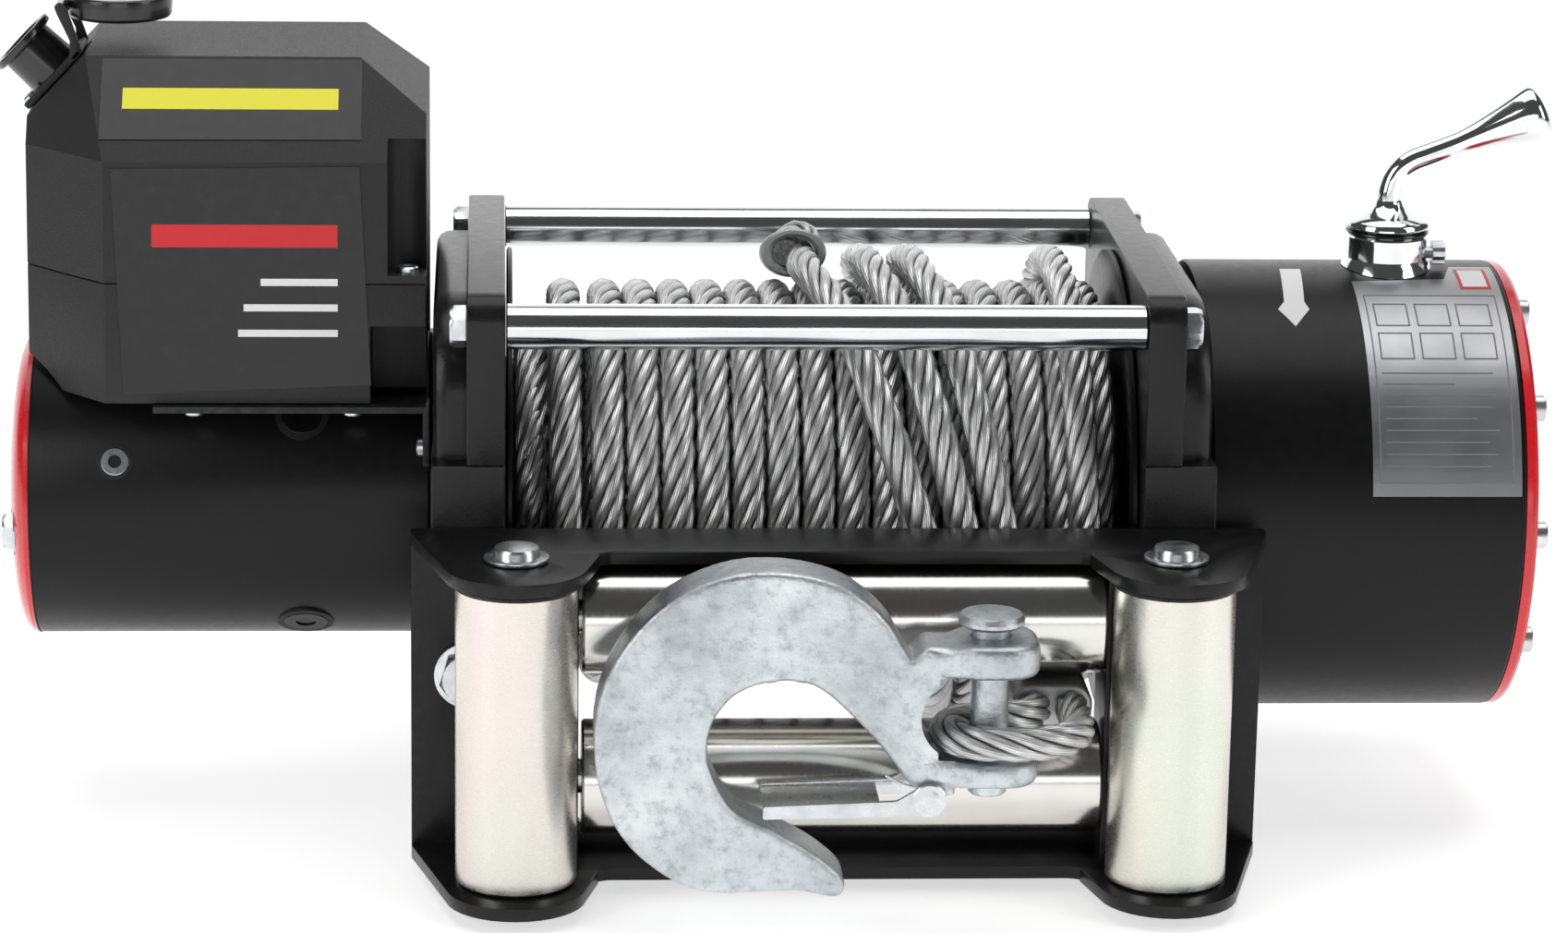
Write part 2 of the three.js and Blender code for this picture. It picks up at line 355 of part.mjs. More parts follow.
// ------------------------------------------------------------------ fairlead
{
  const L = FL_X - FL_HALF, R = FL_X + FL_HALF, lx = FL_X - VR_DX, rx = FL_X + VR_DX;
  const yb = FL_Y0, yf = -165, ym = -125;
  const half = (z0, z1) => prism('xy', rounded([
    [L, yb, 0], [L, yb - 6, 0], [lx - 20.6, yf + 11, 5], [lx - 12, yf + 3.2, 4], [lx, yf, 10], [lx + 13, yf + 3.2, 4], [lx + 20.8, yf + 11, 5], [lx + 22, ym + 1, 5],
    [lx + 27, ym, 4], [rx - 27, ym, 4], [rx - 22, ym + 1, 5], [rx - 20.8, yf + 11, 5], [rx - 13, yf + 3.2, 4], [rx, yf, 10], [rx + 12, yf + 3.2, 4], [rx + 20.6, yf + 11, 5],
    [R, yb - 6, 0], [R, yb, 0]].reverse(), 2), z0, z1, [circ(lx, VR_Y, 8.4, 20), circ(rx, VR_Y, 8.4, 20)]);
  const top = half(FL_TOP - FL_T, FL_TOP), bot = half(FL_BOT, FL_BOT + FL_T);
  const back = prism('xz', [[L, FL_BOT + 1], [R, FL_BOT + 1], [R, FL_TOP - 1], [L, FL_TOP - 1]], FL_Y0 - 4.8, FL_Y0,
    [rounded([[FL_X - 92.5, FL_BOT + 11, 6], [FL_X + 92.5, FL_BOT + 11, 6], [FL_X + 92.5, FL_TOP - 6, 6], [FL_X - 92.5, FL_TOP - 6, 6]].reverse(), 3),
      circ(-124.9, 44, 6.6, 20), circ(124.9, 44, 6.6, 20)]);
  const web = (x) => cut(prism('yz', [[-123, FL_BOT + 2], [FL_Y0 - 2, FL_BOT + 2], [FL_Y0 - 2, FL_TOP - 2], [-123, FL_TOP - 2]], x, x + 3.6),
    cyl('x', 6.4, x - 3, x + 7, HR_Y, HR_ZU, 16), cyl('x', 6.4, x - 3, x + 7, HR_Y, HR_ZL, 16));
  add('fairlead_frame', cat(top, bot, back, web(FL_X - 95.3), web(FL_X + 91.7)), 'black');
  for (const [n, x] of [['left', lx], ['right', rx]]) {
    const z0 = FL_BOT + FL_T + 0.4, z1 = FL_TOP - FL_T - 0.4 - 3.2;
    add(`fairlead_roller_${n}`, latheZ([[8.5, z0], [VR_R - 1, z0], [VR_R, z0 + 1], [VR_R, z1 - 1], [VR_R - 1, z1], [8.5, z1], [8.5, z0]], x, VR_Y, 24), 'nickel');
    add(`fairlead_pin_${n}`, cat(cyl('z', 8.05, FL_BOT - 4.5, FL_TOP + 5.4, x, VR_Y, 24),
      latheZ([[0, FL_TOP + GAP], [11.3, FL_TOP + GAP], [11.3, FL_TOP + 2], [0, FL_TOP + 2]], x, VR_Y, 28),
      latheZ([[0, FL_BOT - 2.2], [11.3, FL_BOT - 2.2], [11.3, FL_BOT - GAP], [0, FL_BOT - GAP]], x, VR_Y, 20)), 'zinc');
  }
  for (const [n, z] of [['upper', HR_ZU], ['lower', HR_ZL]]) {
    add(`fairlead_roller_${n}`, latheX([[6.6, FL_X - HR_HALF], [HR_R - 1, FL_X - HR_HALF], [HR_R, FL_X - HR_HALF + 1], [HR_R, FL_X + HR_HALF - 1], [HR_R - 1, FL_X + HR_HALF], [6.6, FL_X + HR_HALF], [6.6, FL_X - HR_HALF]], 24, HR_Y, z), 'nickel');
    add(`fairlead_pin_${n}`, cat(cyl('x', 6.05, FL_X - 97.3, FL_X + 97.3, HR_Y, z, 20)), 'zinc');
  }
  for (const [n, x] of [['left', -124.9], ['right', 124.9]])
    add(`fairlead_bolt_${n}`, cat(hexHead('y', 18, FL_Y0 - 12.6, FL_Y0 - 5.1, x, 44, 0.5), cyl('y', 5.95, FL_Y0 - 7, -PLATE_Y + 18, x, 44, 20)), 'zinc');
}

// -------------------------------------------------- rope to the hook, and eye
{
  // last turn over the drum, then under it and out between the fairlead rollers
  const pts = [];
  for (let a = 12; a <= 303.6; a += 14.58) pts.push(axp(a < 90 ? 88.6 + 5.2 * (90 - a) / 107 : 88.6 - 3.6 * (a - 90) / 213, OUTER_R, a));
  const tail = [[-44, -70.2], [-56, -64.4], [-70, -58], [-81, -52.6], [-89.5, -48.6], [-97, -46.6]];
  tail.forEach(([y, z], i) => pts.push(V3(84.2 - i * 0.2, y, AX + z)));
  add('rope_lead', tube(pts, 5.9, 6, 34), 'rope');
  // sleeve pressed over both legs of the eye
  const sl = prism('xz', rounded([[71 - 7.6, ROPE_Z - 7.4, 7], [84 + 7.6, ROPE_Z - 7.4, 7], [84 + 7.6, ROPE_Z + 7.4, 7], [71 - 7.6, ROPE_Z + 7.4, 7]], 4), -130, -100);
  add('rope_eye_sleeve', sl, 'zinc');
  // eye: round the clevis pin, both legs turning back into the sleeve
  const e = [];
  e.push(V3(71, -131.6, ROPE_Z), V3(70, -137, ROPE_Z), V3(64.5, -142.0, ROPE_Z));
  for (let k = 0; k <= 6; k++) { const a = (90 + 30 * k) * Math.PI / 180; e.push(V3(PIN_X + 14.4 * Math.cos(a), HOOK_Y + 14.4 * Math.sin(a), ROPE_Z)); }
  e.push(V3(62, -172.6, ROPE_Z), V3(71, -171.4, ROPE_Z), V3(78.5, -166.5, ROPE_Z), V3(83.0, -158, ROPE_Z), V3(84, -146, ROPE_Z), V3(84, -131.6, ROPE_Z));
  add('rope_eye', tube(e, 5.9, 8, 26), 'rope');
}

// ---------------------------------------------------------------------- hook
{
  const q = (u, v) => [(u - 530) * 0.3232 - 117.2, (800 - v) * 0.3375 - 50.3 + AX + 1.2];
  const outl = [[970, 709], [948, 672], [920, 645], [893, 629], [857, 619], [822, 615.5], [786, 617.5], [750, 628], [715, 646], [685, 673], [661, 705], [646, 738], [638.5, 774], [639, 813.5],
    [645, 845], [657.5, 877], [675, 902.5], [699, 924], [727, 942], [754.5, 951], [786, 953], [825.5, 951], [853, 950], [873, 954], [893, 957.5], [902, 953], [904, 943], [897, 932], [879, 916.5],
    [857, 902.5], [835.5, 890.5], [821.5, 882.5], [806, 877], [790, 869], [778, 857], [766.5, 837], [758.5, 817.5], [756.5, 798], [760, 778], [768, 762], [782, 746], [798, 736.5], [818, 730.5], [841, 728.5], [865, 732.5],
    [885, 744.5], [904.5, 762], [924.5, 782], [944, 803.5], [960, 825.5], [970, 838], [982, 846], [1003, 850], [1020, 850]].map(([u, v]) => q(u, v));
  const zU = AX - 8.6, zL = AX - 62.2;                   // outer faces of the two ears
  outl.push([40, zL], [40, zU - 5], [30, zU - 4.6]);
  const body = prism('xz', outl, HOOK_Y - 11, HOOK_Y + 11);
  const ear = (z0, z1) => prism('xy', rounded([[30, HOOK_Y - 11, 0], [PIN_X - 6, HOOK_Y - 16.8, 8], [PIN_X + 16.8, HOOK_Y - 16.8, 13], [PIN_X + 16.8, HOOK_Y + 16.8, 13], [PIN_X - 6, HOOK_Y + 16.8, 8], [30, HOOK_Y + 11, 0]], 5), z0, z1);
  const slotH0 = ROPE_Z - 6.9, slotH1 = AX - 24;
  const slot = cat(box(PIN_X - 8, 90, HOOK_Y - 40, HOOK_Y + 40, slotH0, slotH1), cyl('y', (slotH1 - slotH0) / 2, HOOK_Y - 40, HOOK_Y + 40, PIN_X - 9.6, (slotH0 + slotH1) / 2, 24));
  const eyeWay = cyl('z', 21.2, slotH0, slotH1, PIN_X, HOOK_Y, 32);
  add('hook_body', cut(cat(body, ear(slotH1 - 1, zU - 3.2), ear(zL, slotH0 + 1)), slot, eyeWay,
    cyl('z', PIN_R + GAP, 0, AX + 20, PIN_X, HOOK_Y, 20), cyl('y', 3.1, HOOK_Y - 20, HOOK_Y + 20, 31.6, AX - 66.6, 14)), 'zinc');
  add('clevis_pin', cat(cyl('z', PIN_R, zL - 5.6, zU + 3, PIN_X, HOOK_Y, 24), latheZ([[0, zU + 0.6], [9, zU + 0.6], [11.2, zU + 2.4], [11.2, zU + 4.2], [10, zU + 5.2], [0, zU + 5.2]], PIN_X, HOOK_Y, 28)), 'zinc');
  // spring latch: a channel of sheet on both sides of the shank, with its rivet
  const cheek = (y0) => prism('xz', [[-25, AX - 73.2], [20, AX - 72.4], [26, AX - 72.4], [33, AX - 72.2], [36.6, AX - 69.8], [37.4, AX - 66.6], [36.4, AX - 63.8], [34, AX - 62.6], [28, AX - 62.6], [24, AX - 63.4], [20.5, AX - 65.6], [-25, AX - 68.2]], y0, y0 + 1.8);
  const strip = prism('xz', [[-25, AX - 72.0], [14, AX - 71.2], [14, AX - 69.4], [-25, AX - 70.2]], HOOK_Y - 13.1, HOOK_Y + 13.1);
  add('hook_latch', cat(cheek(HOOK_Y - 13.1), cheek(HOOK_Y + 11.3), strip, cyl('y', 2.8, HOOK_Y - 14.2, HOOK_Y + 14.2, 31.6, AX - 66.6, 14)), 'zinc');
}

export default parts;
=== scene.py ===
import bpy, bmesh, math, random, json
from mathutils import Vector, Matrix

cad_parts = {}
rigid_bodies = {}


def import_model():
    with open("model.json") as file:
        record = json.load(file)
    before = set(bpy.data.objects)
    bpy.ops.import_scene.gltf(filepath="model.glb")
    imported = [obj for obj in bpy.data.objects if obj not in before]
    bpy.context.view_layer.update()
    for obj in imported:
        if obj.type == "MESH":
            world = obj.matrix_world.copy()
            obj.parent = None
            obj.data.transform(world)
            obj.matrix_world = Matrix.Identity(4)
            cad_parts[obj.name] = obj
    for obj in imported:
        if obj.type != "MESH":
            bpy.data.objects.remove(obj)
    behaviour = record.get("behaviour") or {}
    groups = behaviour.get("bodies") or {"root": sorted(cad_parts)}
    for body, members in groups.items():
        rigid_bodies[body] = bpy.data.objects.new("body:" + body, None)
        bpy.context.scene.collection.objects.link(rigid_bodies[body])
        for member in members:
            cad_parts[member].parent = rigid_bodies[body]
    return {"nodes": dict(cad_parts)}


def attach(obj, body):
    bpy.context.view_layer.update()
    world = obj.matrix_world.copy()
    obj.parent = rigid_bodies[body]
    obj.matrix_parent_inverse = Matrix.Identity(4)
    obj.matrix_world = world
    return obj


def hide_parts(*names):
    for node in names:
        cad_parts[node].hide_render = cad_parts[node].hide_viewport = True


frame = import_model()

for o in [o for o in bpy.data.objects if o.name in ("Cube", "Light", "Camera")]: bpy.data.objects.remove(o)
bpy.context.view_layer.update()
random.seed(7)
AX = 88.0
MM = 0.001

# ------------------------------------------------------------------ camera
cam_d = bpy.data.cameras.new("camera")
cam = bpy.data.objects.new("camera", cam_d)
bpy.context.scene.collection.objects.link(cam)
cam.location = (-0.1169, -1.7203, 0.5489)
cam.rotation_euler = (1.312482, -0.016191, -0.058355)
cam_d.sensor_width = 36.0
cam_d.lens = 36.0 * 5226.9 / 1698
cam_d.clip_end = 50
bpy.context.scene.camera = cam

# --------------------------------------------------------------- materials
def mat(name, color, rough=0.5, metal=0.0, coat=0.0, spec=0.5):
    m = bpy.data.materials.new(name)
    m.use_nodes = True
    nt = m.node_tree
    b = nt.nodes["Principled BSDF"]
    b.inputs["Base Color"].default_value = (*color, 1)
    b.inputs["Roughness"].default_value = rough
    b.inputs["Metallic"].default_value = metal
    b.inputs["Coat Weight"].default_value = coat
    b.inputs["Specular IOR Level"].default_value = spec
    return m, nt, b
def node(nt, kind, **kw):
    n = nt.nodes.new(kind)
    for k, v in kw.items():
        if k in n.inputs: n.inputs[k].default_value = v
        else: setattr(n, k, v)
    return n
def coords(nt, scale=(1, 1, 1), kind="Object"):
    t = nt.nodes.new("ShaderNodeTexCoord")
    mp = nt.nodes.new("ShaderNodeMapping")
    mp.inputs["Scale"].default_value = scale
    nt.links.new(t.outputs[kind], mp.inputs["Vector"])
    return mp.outputs["Vector"]
def noise(nt, vec, scale, detail=4.0, rough=0.5):
    n = node(nt, "ShaderNodeTexNoise")
    n.inputs["Scale"].default_value = scale; n.inputs["Detail"].default_value = detail; n.inputs["Roughness"].default_value = rough
    nt.links.new(vec, n.inputs["Vector"])
    return n.outputs["Fac"]
def ramp(nt, fac, lo, hi, a, b):
    m = node(nt, "ShaderNodeMapRange")
    m.inputs["From Min"].default_value = lo; m.inputs["From Max"].default_value = hi
    m.inputs["To Min"].default_value = a; m.inputs["To Max"].default_value = b
    nt.links.new(fac, m.inputs["Value"])
    return m.outputs["Result"]
def mixcol(nt, fac, c0, c1):
    m = node(nt, "ShaderNodeMix", data_type="RGBA")
    for k, c in (("A", c0), ("B", c1)):
        if hasattr(c, "node"):
            sock = [s for s in m.inputs if s.name == k and s.type == "RGBA"][0]
            nt.links.new(c, sock)
        else:
            sock = [s for s in m.inputs if s.name == k and s.type == "RGBA"][0]
            sock.default_value = (*c, 1)
    fs = [s for s in m.inputs if s.name == "Factor" and s.type == "VALUE"][0]
    nt.links.new(fac, fs)
    return [s for s in m.outputs if s.type == "RGBA"][0]
def bump(nt, b, height, strength, dist=0.001, chain=None):
    n = node(nt, "ShaderNodeBump")
    n.inputs["Strength"].default_value = strength; n.inputs["Distance"].default_value = dist
    nt.links.new(height, n.inputs["Height"])
    if chain is not None: nt.links.new(chain, n.inputs["Normal"])
    nt.links.new(n.outputs["Normal"], b.inputs["Normal"])
    return n.outputs["Normal"]
def math_n(nt, op, a, b=None):
    n = node(nt, "ShaderNodeMath", operation=op)
    for i, v in enumerate((a, b)):
        if v is None: continue
        if isinstance(v, (int, float)): n.inputs[i].default_value = v
        else: nt.links.new(v, n.inputs[i])
    return n.outputs[0]

def paint(name, c0, c1, rough, peel=0.03, coat=0.0, wear=0.0, spec=0.5):
    m, nt, b = mat(name, c0, rough, 0.0, coat, spec)
    v = coords(nt)
    big = noise(nt, v, 14, 3)
    fine = noise(nt, v, 900, 2)
    dust = noise(nt, v, 240, 6, 0.7)
    col = mixcol(nt, ramp(nt, big, 0.3, 0.7, 0, 1), c0, c1)
    if wear:
        geo = node(nt, "ShaderNodeNewGeometry")
        e = ramp(nt, geo.outputs["Pointiness"], 0.53, 0.60, 0, 1)
        e2 = math_n(nt, "MULTIPLY", e, ramp(nt, dust, 0.45, 0.6, 0, wear))
        col = mixcol(nt, e2, col, (0.16, 0.16, 0.165))
    nt.links.new(col, b.inputs["Base Color"])
    nt.links.new(ramp(nt, dust, 0.3, 0.75, rough * 0.88, rough * 1.2), b.inputs["Roughness"])
    b.inputs["Coat Roughness"].default_value = 0.12
    bump(nt, b, fine, peel, 0.0006)
    return m
M_PLATE = paint("cast_plate_black", (0.0055, 0.0055, 0.006), (0.009, 0.009, 0.0095), 0.30, 0.10, 0.06, 0.2, 0.28)
M_HOUSE = paint("housing_black", (0.0036, 0.0036, 0.004), (0.0048, 0.0048, 0.0052), 0.34, 0.04, 0.0, 0.0, 0.24)
M_SHEET = paint("sheet_black", (0.0045, 0.0045, 0.005), (0.0075, 0.0075, 0.008), 0.33, 0.07, 0.05, 0.12, 0.26)
M_RED = paint("red_gloss", (0.62, 0.006, 0.012), (0.70, 0.010, 0.018), 0.28, 0.03, 0.5, 0.0)
M_DARKGASKET = paint("gasket", (0.01, 0.01, 0.01), (0.02, 0.02, 0.02), 0.7)
M_HOLE = paint("recess_dark", (0.003, 0.003, 0.003), (0.006, 0.006, 0.006), 0.7)
M_PANEL = paint("panel_gloss_black", (0.0022, 0.0022, 0.0024), (0.0032, 0.0032, 0.0034), 0.30, 0.006)
M_YEL = paint("panel_yellow", (0.85, 0.80, 0.02), (0.88, 0.83, 0.03), 0.4, 0.004)
M_REDP = paint("panel_red", (0.62, 0.01, 0.015), (0.66, 0.012, 0.018), 0.4, 0.004)
M_WHITE = paint("panel_white", (0.80, 0.80, 0.80), (0.84, 0.84, 0.84), 0.45, 0.004)

def plastic():
    m, nt, b = mat("box_plastic", (0.02, 0.02, 0.021), 0.5, 0, 0, 0.34)
    v = coords(nt)
    grain = noise(nt, v, 1500, 3, 0.6)
    big = noise(nt, v, 9, 3)
    nt.links.new(mixcol(nt, ramp(nt, big, 0.3, 0.7, 0, 1), (0.016, 0.016, 0.017), (0.024, 0.024, 0.025)), b.inputs["Base Color"])
    nt.links.new(ramp(nt, grain, 0.3, 0.7, 0.42, 0.62), b.inputs["Roughness"])
    bump(nt, b, grain, 0.30, 0.0005)
    return m
M_BOX = plastic()
def rubber():
    m, nt, b = mat("rubber_black", (0.006, 0.006, 0.006), 0.22, 0, 0.3, 0.5)
    v = coords(nt)
    n = noise(nt, v, 60, 4)
    nt.links.new(ramp(nt, n, 0.3, 0.7, 0.16, 0.38), b.inputs["Roughness"])
    nt.links.new(mixcol(nt, n, (0.004, 0.004, 0.004), (0.010, 0.010, 0.010)), b.inputs["Base Color"])
    bump(nt, b, noise(nt, v, 500, 2), 0.05, 0.0004)
    return m
M_RUB = rubber()

def metal(name, c0, c1, r0, r1, scale=40, streak=None, bumps=0.03, bscale=600, rainbow=0.0):
    m, nt, b = mat(name, c0, r0, 1.0)
    v = coords(nt)
    n = noise(nt, v, scale, 5, 0.6)
    col = mixcol(nt, ramp(nt, n, 0.3, 0.7, 0, 1), c0, c1)
    if rainbow:
        w = noise(nt, coords(nt, (1, 1, 0.25)), 22, 2)
        col = mixcol(nt, ramp(nt, w, 0.45, 0.62, 0, rainbow), col, (0.78, 0.62, 0.66))
        w2 = noise(nt, coords(nt, (1.3, 0.7, 0.3)), 17, 2)
        col = mixcol(nt, ramp(nt, w2, 0.5, 0.66, 0, rainbow), col, (0.55, 0.72, 0.60))
    nt.links.new(col, b.inputs["Base Color"])
    if streak:
        s = noise(nt, coords(nt, streak), 1.0, 4, 0.6)
        nt.links.new(ramp(nt, s, 0.3, 0.7, r0, r1), b.inputs["Roughness"])
        bump(nt, b, s, bumps, 0.0002)
    else:
        nt.links.new(ramp(nt, n, 0.3, 0.7, r0, r1), b.inputs["Roughness"])
        bump(nt, b, noise(nt, v, bscale, 4), bumps, 0.0005)
    return m
M_CHROME = metal("chrome_plate", (0.80, 0.81, 0.82), (0.74, 0.75, 0.76), 0.06, 0.12, 60, None, 0.01, 300)
M_BAR = metal("tie_bar_chrome", (0.78, 0.79, 0.80), (0.66, 0.67, 0.68), 0.10, 0.2, 30, (30, 1500, 1500), 0.03)
M_NICKEL = metal("roller_satin_nickel", (0.78, 0.76, 0.68), (0.72, 0.70, 0.62), 0.24, 0.36, 25, (500, 500, 1800), 0.02, 600, 0.35)
M_HROLL = metal("roller_bright", (0.76, 0.75, 0.70), (0.66, 0.66, 0.62), 0.12, 0.22, 25, (1800, 500, 500), 0.02, 600, 0.2)
M_ZINC = metal("zinc_fastener", (0.70, 0.73, 0.74), (0.56, 0.58, 0.60), 0.22, 0.38, 160, None, 0.06, 900)
M_STEEL = metal("machined_steel", (0.60, 0.60, 0.60), (0.48, 0.48, 0.48), 0.2, 0.4, 80, (20, 2200, 2200), 0.05)
M_BRONZE = metal("bronze", (0.60, 0.42, 0.20), (0.50, 0.34, 0.16), 0.3, 0.45, 80)
M_COPPER = metal("copper", (0.62, 0.30, 0.17), (0.52, 0.24, 0.13), 0.3, 0.45, 120)
M_SLEEVE = metal("pressed_sleeve", (0.44, 0.45, 0.45), (0.30, 0.31, 0.31), 0.38, 0.6, 120, None, 0.25, 500)
M_SILVER = metal("silver_panel", (0.40, 0.41, 0.42), (0.36, 0.37, 0.38), 0.34, 0.42, 50, None, 0.02, 1400)
M_LINE = paint("panel_line", (0.16, 0.16, 0.165), (0.2, 0.2, 0.2), 0.5, 0.004)
M_FUSED = metal("fused_rope_end", (0.10, 0.10, 0.10), (0.30, 0.30, 0.30), 0.4, 0.6, 900, None, 0.8, 900)

def hookmat(name):
    m, nt, b = mat(name, (0.6, 0.64, 0.66), 0.4, 1.0)
    v = coords(nt)
    n1 = noise(nt, v, 28, 6, 0.65)
    n2 = noise(nt, v, 210, 6, 0.7)
    n3 = noise(nt, v, 1100, 3, 0.6)
    c = mixcol(nt, ramp(nt, n1, 0.35, 0.66, 0, 1), (0.72, 0.76, 0.78), (0.44, 0.48, 0.50))
    c = mixcol(nt, ramp(nt, n2, 0.50, 0.72, 0, 0.75), c, (0.30, 0.33, 0.35))
    nt.links.new(c, b.inputs["Base Color"])
    nt.links.new(ramp(nt, n2, 0.3, 0.7, 0.26, 0.46), b.inputs["Roughness"])
    k = bump(nt, b, n2, 0.5, 0.0012)
    bump(nt, b, n3, 0.22, 0.0005, k)
    return m
M_HOOK = hookmat("hook_zinc_forging")

def ropemat(name, wires=11.0, tint=(1, 1, 1)):
    # wires run on each strand: u goes once round the strand, v counts along it in strand turns
    m, nt, b = mat(name, (0.5, 0.5, 0.5), 0.32, 1.0)
    uv = node(nt, "ShaderNodeUVMap"); uv.uv_map = "UVMap"
    sep = node(nt, "ShaderNodeSeparateXYZ")
    nt.links.new(uv.outputs["UV"], sep.inputs["Vector"])
    ph = math_n(nt, "ADD", math_n(nt, "MULTIPLY", sep.outputs["X"], wires), math_n(nt, "MULTIPLY", sep.outputs["Y"], wires))
    fr = math_n(nt, "FRACT", ph)
    tri = math_n(nt, "ABSOLUTE", math_n(nt, "SUBTRACT", math_n(nt, "MULTIPLY", fr, 2.0), 1.0))
    hgt = math_n(nt, "SQRT", math_n(nt, "SUBTRACT", 1.0, math_n(nt, "MULTIPLY", tri, tri)))
    v = coords(nt)
    n = noise(nt, v, 90, 5, 0.65)
    n2 = noise(nt, v, 18, 3)
    groove_shade = ramp(nt, hgt, 0.05, 0.75, 1, 0)
    c = mixcol(nt, ramp(nt, n, 0.32, 0.7, 0, 1), tuple(0.78 * t for t in tint), tuple(0.52 * t for t in tint))
    c = mixcol(nt, ramp(nt, n2, 0.45, 0.7, 0, 0.5), c, (0.44, 0.45, 0.45))
    # painted shade: the grooves between the wires are darkened toward dark grey
    c = mixcol(nt, math_n(nt, "MULTIPLY", groove_shade, 0.5), c, (0.14, 0.14, 0.145))
    # painted shade: the valleys between strands, on the inward side of each strand, are darkened almost to black
    valley_shade_weight = math_n(nt, "SUBTRACT", 0.5, math_n(nt, "ABSOLUTE", math_n(nt, "SUBTRACT", sep.outputs["X"], 0.5)))
    c = mixcol(nt, ramp(nt, valley_shade_weight, 0.15, 0.29, 0, 0.92), c, (0.03, 0.03, 0.032))
    nt.links.new(c, b.inputs["Base Color"])
    nt.links.new(ramp(nt, n, 0.3, 0.7, 0.27, 0.44), b.inputs["Roughness"])
    bump(nt, b, hgt, 0.45, 0.0004)
    return m
M_ROPE = ropemat("wire_rope_galvanised")

# ----------------------------------------------------------------- meshes
def obj(name, me):
    o = bpy.data.objects.new(name, me)
    bpy.context.scene.collection.objects.link(o)
    return o
def make(name, verts, faces, material, smooth=True, angle=35):
    me = bpy.data.meshes.new(name)
    me.from_pydata([(x * MM, y * MM, z * MM) for x, y, z in verts], [], faces)
    me.validate()
    bm = bmesh.new(); bm.from_mesh(me)
    bmesh.ops.recalc_face_normals(bm, faces=bm.faces)
    bm.to_mesh(me); bm.free()
    me.materials.append(material)
    if smooth: shade(me, angle)
    return obj(name, me)
def shade(me, angle=35):
    me.polygons.foreach_set("use_smooth", [True] * len(me.polygons))
    bm = bmesh.new(); bm.from_mesh(me)
    lim = math.radians(angle)
    for e in bm.edges:
        e.smooth = not (len(e.link_faces) == 2 and e.calc_face_angle(0) > lim)
    bm.to_mesh(me); bm.free()
def frame_of(axis):
    return {"x": (Vector((1, 0, 0)), Vector((0, 1, 0)), Vector((0, 0, 1))),
            "y": (Vector((0, 1, 0)), Vector((0, 0, 1)), Vector((1, 0, 0))),
            "z": (Vector((0, 0, 1)), Vector((1, 0, 0)), Vector((0, 1, 0)))}[axis]
def lathe(name, prof, axis, c, material, seg=96, angle=30, closed=False):
    """prof: [(radius, along)], axis letter or vector, c: a point on the axis"""
    if isinstance(axis, str): A, U, W = frame_of(axis)
    else:
        A = Vector(axis).normalized(); U = A.orthogonal().normalized(); W = A.cross(U)
    C = Vector(c)
    verts, faces, rings = [], [], []
    for r, a in prof:
        if r < 1e-6:
            rings.append([len(verts)]); verts.append(C + A * a)
        else:
            rings.append(list(range(len(verts), len(verts) + seg)))
            for k in range(seg):
                t = 2 * math.pi * k / seg
                verts.append(C + A * a + (U * math.cos(t) + W * math.sin(t)) * r)
    pairs = list(zip(rings[:-1], rings[1:]))
    if closed: pairs.append((rings[-1], rings[0]))
    for p, q in pairs:
        for k in range(seg):
            k2 = (k + 1) % seg
            if len(p) == 1 and len(q) == 1: continue
            if len(p) == 1: faces.append((p[0], q[k], q[k2]))
            elif len(q) == 1: faces.append((p[k], q[0], p[k2]))
            else: faces.append((p[k], q[k], q[k2], p[k2]))
    return make(name, [tuple(v) for v in verts], faces, material, True, angle)
def prism(name, pts, plane, a, b, material, bevel=0.0, seg=3, angle=30, holes=()):
    """outline in plane xy, xz or yz, from a to b along the remaining axis; holes are outlines too"""
    def P(u, v, w): return {"xy": (u, v, w), "xz": (u, w, v), "yz": (w, u, v)}[plane]
    bm = bmesh.new()
    loops = [pts] + list(holes)
    for w in (a,):
        edges = []
        for lp in loops:
            vs = [bm.verts.new(Vector(P(u, v, w)) * MM) for u, v in lp]
            for i in range(len(vs)): edges.append(bm.edges.new((vs[i], vs[(i + 1) % len(vs)])))
        if holes: bmesh.ops.triangle_fill(bm, edges=edges, use_beauty=True)
        else: bm.faces.new(vs)
    ax = {"xy": Vector((0, 0, 1)), "xz": Vector((0, 1, 0)), "yz": Vector((1, 0, 0))}[plane]
    r = bmesh.ops.extrude_face_region(bm, geom=list(bm.faces), use_keep_orig=True)
    bmesh.ops.translate(bm, verts=[g for g in r["geom"] if isinstance(g, bmesh.types.BMVert)], vec=ax * (b - a) * MM)
    bmesh.ops.recalc_face_normals(bm, faces=bm.faces)
    bmesh.ops.dissolve_limit(bm, angle_limit=math.radians(1), verts=bm.verts, edges=bm.edges)
    if bevel:
        es = [e for e in bm.edges if len(e.link_faces) == 2 and e.calc_face_angle(0) > math.radians(25)]
        bmesh.ops.bevel(bm, geom=es, offset=bevel * MM, segments=seg, profile=0.6, affect="EDGES", clamp_overlap=True)
    me = bpy.data.meshes.new(name)
    bm.to_mesh(me); bm.free()
    me.materials.append(material)
    shade(me, angle)
    return obj(name, me)
def circle(cx, cy, r, n=32, start=0.0): return [(cx + r * math.cos(start + 2 * math.pi * i / n), cy + r * math.sin(start + 2 * math.pi * i / n)) for i in range(n)]
